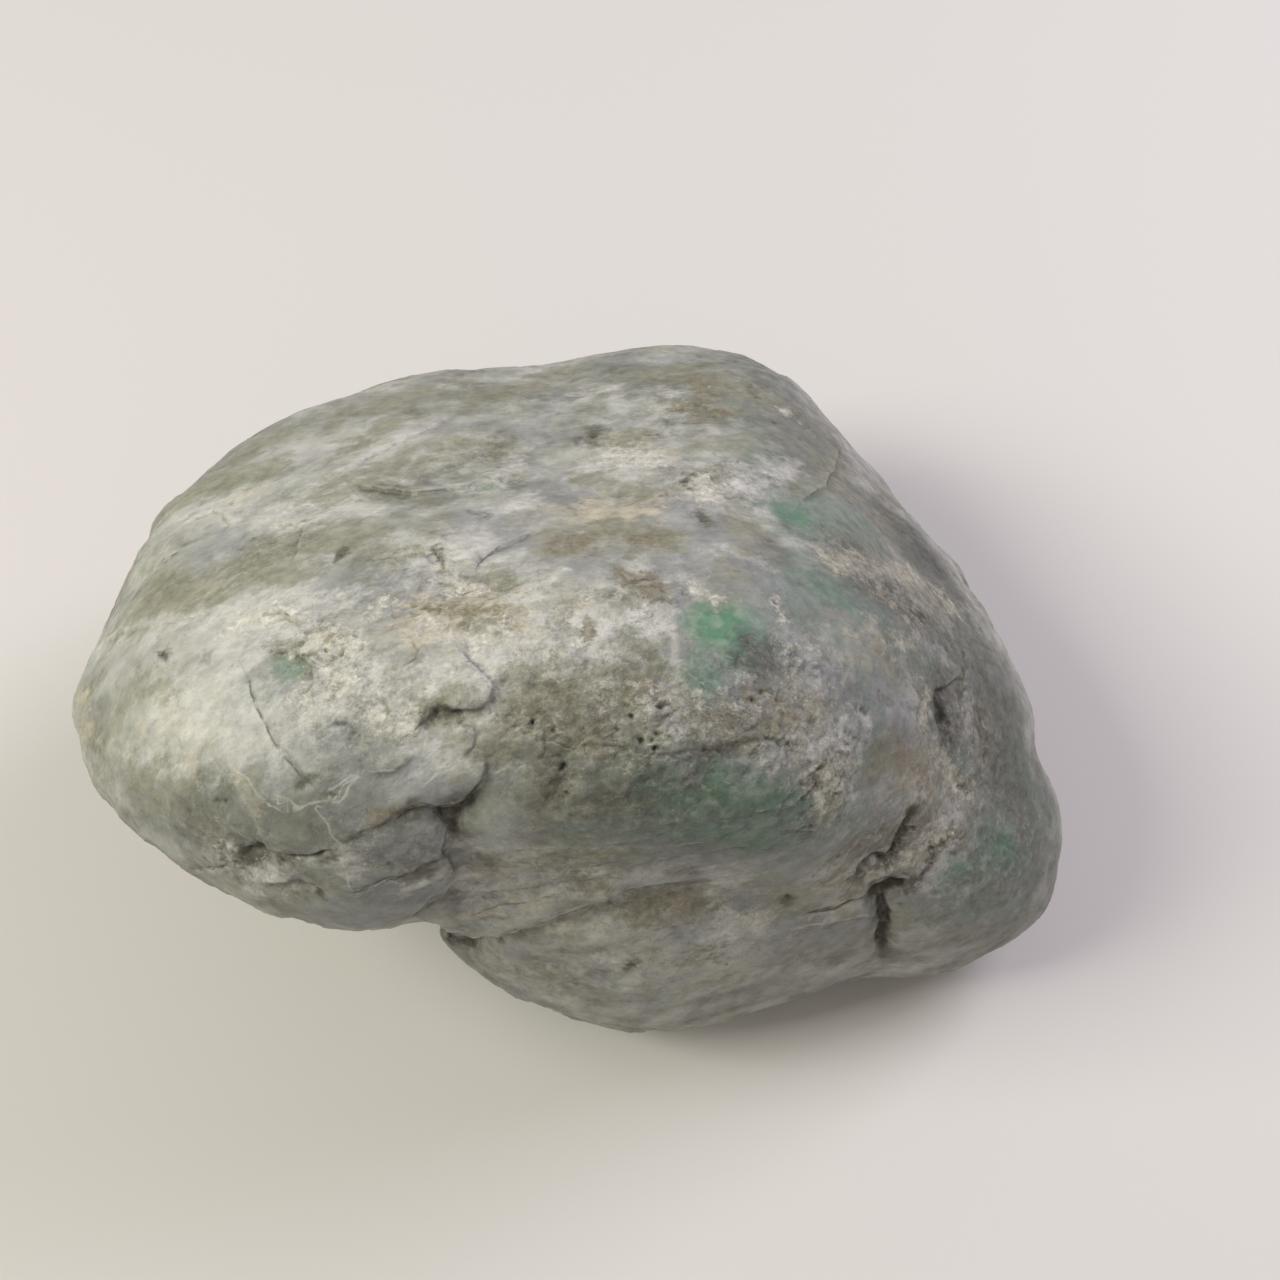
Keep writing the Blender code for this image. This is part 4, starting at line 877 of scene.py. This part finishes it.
# How deep each point lies below its surroundings, in mm, once these are evened that many times.
def hollowness(piece, points, normals, rounds):
    ends = np.empty(len(piece.data.edges) * 2, dtype=np.int32)
    piece.data.edges.foreach_get("vertices", ends)
    ends = ends.reshape(-1, 2)
    pairs = np.concatenate([ends, ends[:, ::-1]])
    count = np.bincount(pairs[:, 0], minlength=len(points))[:, None]
    evened = points.copy()
    for _ in range(rounds):
        total = [np.bincount(pairs[:, 0], evened[pairs[:, 1], i], len(points)) for i in range(3)]
        evened = 0.5 * evened + 0.5 * np.stack(total, 1) / count
    return ((evened - points) * normals).sum(1)


# Signed distance to the nearest hairline, half its width, and how well it holds there.
def hairlineFields(points, normals, skin, lines):
    side, hold = np.full(len(points), hairline["hold"]), np.zeros(len(points))
    closest, halves = np.full(len(points), hairline["hold"]), np.full(len(points), 0.1)
    for half, path in lines:
        laid = layOnSkin(skin, path)
        near, distance, gap, course, along = nearPath(points, laid, hairline["hold"])
        sign = np.sign((gap * np.cross(normals[near], course)).sum(1))
        closer = distance - half < closest[near]
        chosen = near[closer]
        closest[chosen] = (distance - half)[closer]
        side[chosen] = (sign * distance)[closer]
        halves[chosen] = half
        ends = softEnds(along) if len(path) > 2 or half < 0.15 else 1
        hold[chosen] = ((1 - distance / hairline["hold"]) * ends)[closer]
    return side, halves, hold


def paintStone(piece):
    points, normals = readMesh(piece)
    skin = skinOf(piece)
    seen = faceTheEye(points, normals)
    drawn = alongBedding(points)
    warp = np.stack([noiseAt(points, 2.5, 3, s) for s in (21, 22, 23)], 1)
    warped = points + warp * 0.9  # ragged edges for the patches, and steadier ones for the hairlines
    for name, family in marks.items():
        size, rare, seed = hiddenPatches[name]
        patches = np.clip((noiseAt(drawn, size, 3, seed) - rare) * 2.2 + 0.5, 0, 1)
        field = zoneField(warped, skin, family)
        addField(piece, name, np.maximum(field, patches * (1 - seen)))
    fine = points + warp * 0.25
    # painted shade in the round holes, drawn as short dark lines
    holeShade = [(radius * 0.8, [(across - 1, down), (across + 1, down)]) for across, down, radius, _ in holes]
    for name, lines in (("pale", paleVeinsAndRimLight), ("dark", darkCracksAndShade + holeShade)):
        side, half, hold = hairlineFields(fine, normals, skin, lines)
        addField(piece, name + "Side", side)
        addField(piece, name + "Half", half)
        addField(piece, name + "Hold", hold)
    addField(piece, "rough", zoneField(warped, skin, roughZones))
    # which way the skin faces, for the painted light and shade
    addField(piece, "facesUp", normals[:, 2])
    # painted shade over the zones given above
    addField(piece, "paintedShade", zoneField(warped, skin, paintedShadeZones))
    addField(piece, "fineHollow", hollowness(piece, points, normals, 6))
    addField(piece, "wideHollow", hollowness(piece, points, normals, 60))
    print("colours laid on the skin")


paintStone(stone)


# Adds a node. Values are its options, its settings and the sockets that feed it, in that order.
def addNode(tree, kind, values, out=0):
    node = tree.nodes.new("ShaderNode" + kind)
    for name, value in values.items():
        if isinstance(name, str) and name not in node.inputs:
            setattr(node, name, value)
        elif isinstance(value, bpy.types.NodeSocket):
            tree.links.new(value, node.inputs[name])
        elif isinstance(value, str):
            node.inputs[name].default_value = linear(value) + [1]
        else:
            node.inputs[name].default_value = value
    return node.outputs[out]


# Raw jadeite rock, tumbled in a river: a tough felt of fine grains with a satin, slightly waxy skin where
# it is worn, dull and crumbly where crust or soil is left in it. Real jadeite has an IOR of 1.66.
jadeite = {
    "ior": 1.66,
    "roughness": (0.42, 0.62),
    # pattern sizes in mm; real grains are about 0.1 mm, and grain and crystal are drawn coarser, to show
    "sizes": {
        "cloud": 5, "drift": 5, "curl": 1.4, "cell": 1.5, "crystal": 0.6, "grain": 0.45, "grit": 1.5,
        "warp": 6, "wander": 0.8, "gap": 2.2, "sheen": 1.4, "sand": 0.55, "relief": 1.6,
    },
    "stretch": 1.3,  # how far the clouds are drawn out along the bedding
    "clouds": ("#77796D", "#C2C4BB"),
    "haze": ("#A2A3A6", "#8F9079"),  # cool and warm drifts
    "grit": ("#4E4C3C", "#DDDACB"),  # dark and pale grains of the felt
    # two colours, raggedness of the edge, its softness, how far it covers, lump size in mm, stretch
    "families": {
        "darkGroundAndShade": ("#5B5F56", "#7C8074", 0.9, 0.26, 0.80, 2.2, 1.3),
        "pale": ("#B2B3AC", "#C8C8C2", 0.9, 0.26, 0.62, 2.0, 1.8),
        "slate": ("#838687", "#9C9E9F", 1.0, 0.18, 0.72, 1.8, 1.5),
        "tan": ("#B3AA90", "#D2CBB7", 1.2, 0.18, 0.80, 1.3, 1.4),
        "bleach": ("#BFBFB8", "#E6E5E0", 1.2, 0.26, 0.68, 1.2, 1.8),
        "olive": ("#767663", "#9C9B84", 1.2, 0.18, 0.74, 1.2, 1.5),
        "umber": ("#696149", "#978E76", 1.3, 0.16, 0.78, 0.9, 1.1),
        "teal": ("#5B7063", "#85978A", 1.1, 0.24, 0.80, 1.6, 1.2),
        "emerald": ("#4A7C5C", "#568D68", 0.5, 0.34, 1.0, 2.4, 1.1),
        "crust": ("#B9B5A4", "#F3F1E7", 1.2, 0.20, 0.82, 0.9, 1.0),
        "cream": ("#A5A28A", "#E8E6D2", 1.2, 0.20, 0.80, 0.9, 1.0),
        "shade": ("#454233", "#625F4E", 1.0, 0.24, 0.78, 0.6, 1.2),
    },
    "plates": {"size": 6, "uneven": 0.30},  # mm, and how much they differ
    "facingLightAndShade": (0.73, 1.16),  # painted shade where the skin stands upright, painted light where it faces up
    # the pale lines are partly painted rim highlight, the dark ones partly painted shade in cracks and
    # holes
    "hairlines": {"pale": ("#D0D0C6", 0.55), "dark": ("#4A4739", 0.75)},  # colour, cover
    # colour of the soil and painted shade in the hollows
    "hollowSoilAndShade": "#736F5C",
    "worn": "#C4C5BC",
}


def jadeiteMaterial():
    material = bpy.data.materials.new("river_worn_jadeite")
    material.use_nodes = True
    tree = material.node_tree
    shader = tree.nodes["Principled BSDF"]
    shader.inputs["IOR"].default_value = jadeite["ior"]

    scale = {name: 1 / size for name, size in jadeite["sizes"].items()}

    # places in mm, and the same drawn out along the bedding
    place = addNode(tree, "TexCoord", {}, "Object")
    place = addNode(tree, "VectorMath", {"operation": "SCALE", 0: place, "Scale": 1 / mm})
    bedding = tuple(stoneShape["bedding"])
    along = addNode(tree, "VectorMath", {"operation": "DOT_PRODUCT", 0: place, 1: bedding}, "Value")
    drawn = addNode(tree, "Math", {"operation": "MULTIPLY", 0: along, 1: 1 / jadeite["stretch"] - 1})
    drawn = addNode(tree, "VectorMath", {"operation": "SCALE", 0: bedding, "Scale": drawn})
    drawn = addNode(tree, "VectorMath", {"operation": "ADD", 0: drawn, 1: place})
    curl = addNode(tree, "TexNoise", {"Vector": place, "Scale": scale["curl"], "Detail": 4}, "Color")
    curl = addNode(tree, "VectorMath", {"operation": "SUBTRACT", 0: curl, 1: (0.5, 0.5, 0.5)})
    curled = addNode(tree, "VectorMath", {
        "operation": "MULTIPLY_ADD", 0: curl, 1: (1.6, 1.6, 1.6), 2: drawn})

    # the felt: clouds of pale and dark grains, with cool and warm drifts
    tone = addNode(tree, "TexNoise", {
        "Vector": drawn, "Scale": scale["cloud"], "Detail": 6, "Roughness": 0.60})
    tone = addNode(tree, "MapRange", {"Value": tone, "From Min": 0.35, "From Max": 0.65})
    cell = addNode(tree, "TexVoronoi", {"Vector": curled, "Scale": scale["cell"]}, "Color")
    cell = addNode(tree, "SeparateColor", {"Color": cell})
    small = addNode(tree, "TexVoronoi", {"Vector": curled, "Scale": scale["crystal"]}, "Color")
    small = addNode(tree, "SeparateColor", {"Color": small})
    cell = addNode(tree, "Math", {"operation": "MULTIPLY_ADD", 0: small, 1: 0.4, 2: cell})
    cell = addNode(tree, "Math", {"operation": "SUBTRACT", 0: cell, 1: 0.7})
    tone = addNode(tree, "Math", {
        "operation": "MULTIPLY_ADD", "use_clamp": True, 0: cell, 1: 0.30, 2: tone})
    plates = jadeite["plates"]
    warp = addNode(tree, "TexNoise", {
        "Vector": place, "Scale": scale["warp"], "Detail": 4, "Roughness": 0.5}, "Color")
    warp = addNode(tree, "VectorMath", {"operation": "SUBTRACT", 0: warp, 1: (0.5, 0.5, 0.5)})
    warp = addNode(tree, "VectorMath", {"operation": "MULTIPLY_ADD", 0: warp, 1: (7, 7, 7), 2: drawn})
    plate = addNode(tree, "TexVoronoi", {"Vector": warp, "Scale": 1 / plates["size"]}, "Color")
    plate = addNode(tree, "SeparateColor", {"Color": plate})
    plate = addNode(tree, "Math", {"operation": "SUBTRACT", 0: plate, 1: 0.5})
    tone = addNode(tree, "Math", {
        "operation": "MULTIPLY_ADD", "use_clamp": True, 0: plate, 1: plates["uneven"], 2: tone})
    dark, pale = jadeite["clouds"]
    colour = addNode(tree, "Mix", {"data_type": "RGBA", 0: tone, 6: dark, 7: pale}, 2)
    for index, haze in enumerate(jadeite["haze"]):
        drift = addNode(tree, "VectorMath", {"operation": "ADD", 0: drawn, 1: (0, 0, 60.0 + 40 * index)})
        drift = addNode(tree, "TexNoise", {
            "Vector": drift, "Scale": scale["drift"], "Detail": 5, "Roughness": 0.6})
        drift = addNode(tree, "MapRange", {
            "Value": drift, "From Min": 0.50, "From Max": 0.66, "To Max": 0.55})
        colour = addNode(tree, "Mix", {"data_type": "RGBA", 0: drift, 6: colour, 7: haze}, 2)

    # the families, each ragged at its edge and drawn out its own way
    grain = addNode(tree, "TexNoise", {
        "Vector": place, "Scale": scale["grain"], "Detail": 3, "Roughness": 0.6})
    salt = addNode(tree, "Math", {"operation": "SUBTRACT", 0: grain, 1: 0.5})
    salt = addNode(tree, "Math", {"operation": "MULTIPLY_ADD", 0: cell, 1: 0.25, 2: salt})
    rough = addNode(tree, "Attribute", {"attribute_name": "rough"}, "Fac")
    salty = addNode(tree, "MapRange", {"Value": rough, "To Min": 0.25, "To Max": 0.9})
    salt = addNode(tree, "Math", {"operation": "MULTIPLY", 0: salt, 1: salty})
    covers = {}
    for index, (name, family) in enumerate(jadeite["families"].items()):
        first, second, ragged, soft, cover, lump, stretch = family
        away = addNode(tree, "Math", {"operation": "MULTIPLY", 0: along, 1: 1 / stretch - 1})
        away = addNode(tree, "VectorMath", {"operation": "SCALE", 0: bedding, "Scale": away})
        away = addNode(tree, "VectorMath", {
            "operation": "ADD", 0: away, 1: (31.0 * index, 7.0 * index, 3.0)})
        away = addNode(tree, "VectorMath", {"operation": "ADD", 0: away, 1: place})
        rag = addNode(tree, "TexNoise", {
            "Vector": away, "Scale": 1 / (1.6 * lump), "Detail": 6, "Roughness": 0.7})
        rag = addNode(tree, "Math", {"operation": "SUBTRACT", 0: rag, 1: 0.5})
        lies = addNode(tree, "Attribute", {"attribute_name": name}, "Fac")
        edge = addNode(tree, "Math", {"operation": "MULTIPLY_ADD", 0: rag, 1: 1.8 * ragged, 2: lies})
        edge = addNode(tree, "Math", {"operation": "MULTIPLY_ADD", 0: salt, 1: ragged, 2: edge})
        covers[name] = addNode(tree, "MapRange", {
            "Value": edge, "From Min": 0.5 - soft, "From Max": 0.5 + soft, "To Max": cover})
        tint = addNode(tree, "TexNoise", {
            "Vector": away, "Scale": 1 / lump, "Detail": 5, "Roughness": 0.68})
        tint = addNode(tree, "MapRange", {"Value": tint, "From Min": 0.36, "From Max": 0.64})
        tint = addNode(tree, "Mix", {"data_type": "RGBA", 0: tint, 6: first, 7: second}, 2)
        colour = addNode(tree, "Mix", {"data_type": "RGBA", 0: covers[name], 6: colour, 7: tint}, 2)

    # hairlines, wandering a little and broken here and there: pale veins with painted rim highlights, dark
    # cracks with painted shade in them and in the holes
    wander = addNode(tree, "TexNoise", {"Vector": place, "Scale": scale["wander"], "Detail": 4})
    wander = addNode(tree, "Math", {"operation": "SUBTRACT", 0: wander, 1: 0.5})
    broken = addNode(tree, "TexNoise", {"Vector": place, "Scale": scale["gap"], "Detail": 3})
    broken = addNode(tree, "MapRange", {
        "Value": broken, "From Min": 0.40, "From Max": 0.56, "To Min": 0.15})
    for name, (lineColour, cover) in jadeite["hairlines"].items():
        side = addNode(tree, "Attribute", {"attribute_name": name + "Side"}, "Fac")
        half = addNode(tree, "Attribute", {"attribute_name": name + "Half"}, "Fac")
        side = addNode(tree, "Math", {"operation": "MULTIPLY_ADD", 0: wander, 1: 0.3, 2: side})
        side = addNode(tree, "Math", {"operation": "ABSOLUTE", 0: side})
        side = addNode(tree, "Math", {"operation": "DIVIDE", 0: side, 1: half})
        line = addNode(tree, "MapRange", {
            "Value": side, "From Min": 0.5, "From Max": 2.0, "To Min": cover, "To Max": 0})
        hold = addNode(tree, "Attribute", {"attribute_name": name + "Hold"}, "Fac")
        hold = addNode(tree, "MapRange", {"Value": hold, "From Min": 0.1, "From Max": 0.5})
        line = addNode(tree, "Math", {"operation": "MULTIPLY", 0: line, 1: hold})
        line = addNode(tree, "Math", {"operation": "MULTIPLY", 0: line, 1: broken})
        colour = addNode(tree, "Mix", {"data_type": "RGBA", 0: line, 6: colour, 7: lineColour}, 2)

    # soil and painted shade in the hollows, pale where the skin stands out and is rubbed
    fine = addNode(tree, "Attribute", {"attribute_name": "fineHollow"}, "Fac")
    wide = addNode(tree, "Attribute", {"attribute_name": "wideHollow"}, "Fac")
    hollowSoilAndShade = addNode(tree, "MapRange", {"Value": fine, "From Min": 0.02, "From Max": 0.20, "To Max": 0.8})
    wideHollowShade = addNode(tree, "MapRange", {"Value": wide, "From Min": 0.20, "From Max": 1.1, "To Max": 0.7})
    hollowSoilAndShade = addNode(tree, "Math", {"operation": "MAXIMUM", 0: hollowSoilAndShade, 1: wideHollowShade})
    colour = addNode(tree, "Mix", {
        "data_type": "RGBA", "blend_type": "MULTIPLY", 0: hollowSoilAndShade, 6: colour, 7: jadeite["hollowSoilAndShade"]}, 2)
    worn = addNode(tree, "MapRange", {"Value": fine, "From Min": -0.03, "From Max": -0.16, "To Max": 0.40})
    colour = addNode(tree, "Mix", {"data_type": "RGBA", 0: worn, 6: colour, 7: jadeite["worn"]}, 2)
    many = addNode(tree, "MapRange", {"Value": rough, "From Max": 0.8, "To Min": 0.12, "To Max": 0.95})
    spared = addNode(tree, "Math", {"operation": "MULTIPLY_ADD", 0: covers["emerald"], 1: -0.75, 2: 1})
    many = addNode(tree, "Math", {"operation": "MULTIPLY", 0: many, 1: spared})
    grit = addNode(tree, "TexNoise", {
        "Vector": curled, "Scale": scale["grit"], "Detail": 8, "Roughness": 0.86})
    for speck, start, end in zip(jadeite["grit"], (0.50, 0.53), (0.32, 0.70)):  # below, then above
        fleck = addNode(tree, "MapRange", {"Value": grit, "From Min": start, "From Max": end})
        fleck = addNode(tree, "Math", {"operation": "MULTIPLY", 0: fleck, 1: many})
        colour = addNode(tree, "Mix", {"data_type": "RGBA", 0: fleck, 6: colour, 7: speck}, 2)
    # painted light and shade: the skin lightened where it faces up and darkened where it stands upright
    upright, upward = jadeite["facingLightAndShade"]
    facingLightAndShade = addNode(tree, "Attribute", {"attribute_name": "facesUp"}, "Fac")
    facingLightAndShade = addNode(tree, "MapRange", {"Value": facingLightAndShade, "To Min": upright, "To Max": upward})
    # painted shade: the whole skin darkened over the given zones
    paintedShade = addNode(tree, "Attribute", {"attribute_name": "paintedShade"}, "Fac")
    paintedShade = addNode(tree, "Math", {"operation": "SUBTRACT", 0: 1, 1: paintedShade})
    facingLightAndShade = addNode(tree, "Math", {"operation": "MULTIPLY", 0: facingLightAndShade, 1: paintedShade})
    colour = addNode(tree, "VectorMath", {"operation": "SCALE", 0: colour, "Scale": facingLightAndShade})
    tree.links.new(colour, shader.inputs["Base Color"])

    # satin skin, duller on crust and in the hollows
    smooth, dull = jadeite["roughness"]
    sheen = addNode(tree, "TexNoise", {"Vector": place, "Scale": scale["sheen"], "Detail": 4})
    sheen = addNode(tree, "MapRange", {
        "Value": sheen, "From Min": 0.35, "From Max": 0.65, "To Min": smooth, "To Max": dull})
    for part in (covers["crust"], covers["cream"], hollowSoilAndShade):
        sheen = addNode(tree, "Math", {
            "operation": "MULTIPLY_ADD", "use_clamp": True, 0: part, 1: 0.2, 2: sheen})
    tree.links.new(sheen, shader.inputs["Roughness"])

    # relief too fine for the mesh
    gritty = addNode(tree, "Math", {"operation": "MAXIMUM", 0: covers["crust"], 1: covers["cream"]})
    gritty = addNode(tree, "Math", {"operation": "MULTIPLY_ADD", 0: rough, 1: 0.5, 2: gritty})
    gritty = addNode(tree, "Math", {"operation": "MULTIPLY_ADD", 0: gritty, 1: 0.30, 2: 0.05})
    grit = addNode(tree, "TexNoise", {
        "Vector": place, "Scale": scale["sand"], "Detail": 5, "Roughness": 0.62})
    grit = addNode(tree, "Math", {"operation": "MULTIPLY", 0: grit, 1: gritty})
    relief = addNode(tree, "TexNoise", {
        "Vector": curled, "Scale": scale["relief"], "Detail": 6, "Roughness": 0.6})
    height = addNode(tree, "Math", {"operation": "MULTIPLY_ADD", 0: relief, 1: 0.22, 2: grit})
    chips = addNode(tree, "Math", {"operation": "MULTIPLY_ADD", 0: rough, 1: 0.09, 2: 0.02})
    height = addNode(tree, "Math", {"operation": "MULTIPLY_ADD", 0: cell, 1: chips, 2: height})
    height = addNode(tree, "Math", {"operation": "MULTIPLY_ADD", 0: plate, 1: 0.07, 2: height})
    bump = addNode(tree, "Bump", {"Strength": 0.8, "Distance": mm, "Height": height})
    tree.links.new(bump, shader.inputs["Normal"])
    return material


stone.data.materials.append(jadeiteMaterial())
print("jadeite finished")

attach(stone, "root")
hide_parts("jade_boulder")

table = {"size": 3.0, "colour": "#E9E6E3", "roughness": 0.6}  # m
bpy.ops.object.select_all(action="DESELECT")
bpy.ops.mesh.primitive_plane_add(size=table["size"])
floor = bpy.context.active_object
floor.name = "table_top"
floorPaint = bpy.data.materials.new("matt_white_laminate")
floorPaint.use_nodes = True
floorShader = floorPaint.node_tree.nodes["Principled BSDF"]
floorShader.inputs["Base Color"].default_value = linear(table["colour"]) + [1]
floorShader.inputs["Roughness"].default_value = table["roughness"]
floor.data.materials.append(floorPaint)

bpy.ops.object.camera_add(location=view["eye"] * mm)
camera = bpy.context.active_object
camera.rotation_euler = viewWay.to_track_quat("-Z", "Y").to_euler()
camera.data.sensor_width = view["sensor"]
reach = (view["centre"] - view["eye"]).length
camera.data.lens = view["sensor"] / (view["frame"] / view["pxPerMm"]) * reach
camera.data.clip_start = 0.01
bpy.context.scene.camera = camera

lights = {  # places and sizes in m, power in W
    "windowRight": {"at": (0.48, 0.28, 0.50), "size": 0.35, "power": 2.4, "colour": "#F0EBFF"},
    "lampLeft": {"at": (-0.66, -0.12, 0.66), "size": 0.40, "power": 5.1, "colour": "#FFFFF0"},
}
for name, light in lights.items():
    bpy.ops.object.light_add(type="AREA", location=light["at"])
    lamp = bpy.context.active_object
    lamp.name = name
    lamp.data.size = light["size"]
    lamp.data.energy = light["power"]
    lamp.data.color = linear(light["colour"])
    lamp.rotation_euler = (Vector((0, 0, 0.03)) - Vector(light["at"])).to_track_quat("-Z", "Y").to_euler()

room = {"colour": "#FFF7F0", "strength": 0.31}
sky = bpy.data.worlds.new("softRoom")
sky.use_nodes = True
sky.node_tree.nodes["Background"].inputs["Color"].default_value = linear(room["colour"]) + [1]
sky.node_tree.nodes["Background"].inputs["Strength"].default_value = room["strength"]
bpy.context.scene.world = sky
bpy.context.scene.view_settings.view_transform = "Standard"
print("camera, lights and table placed")
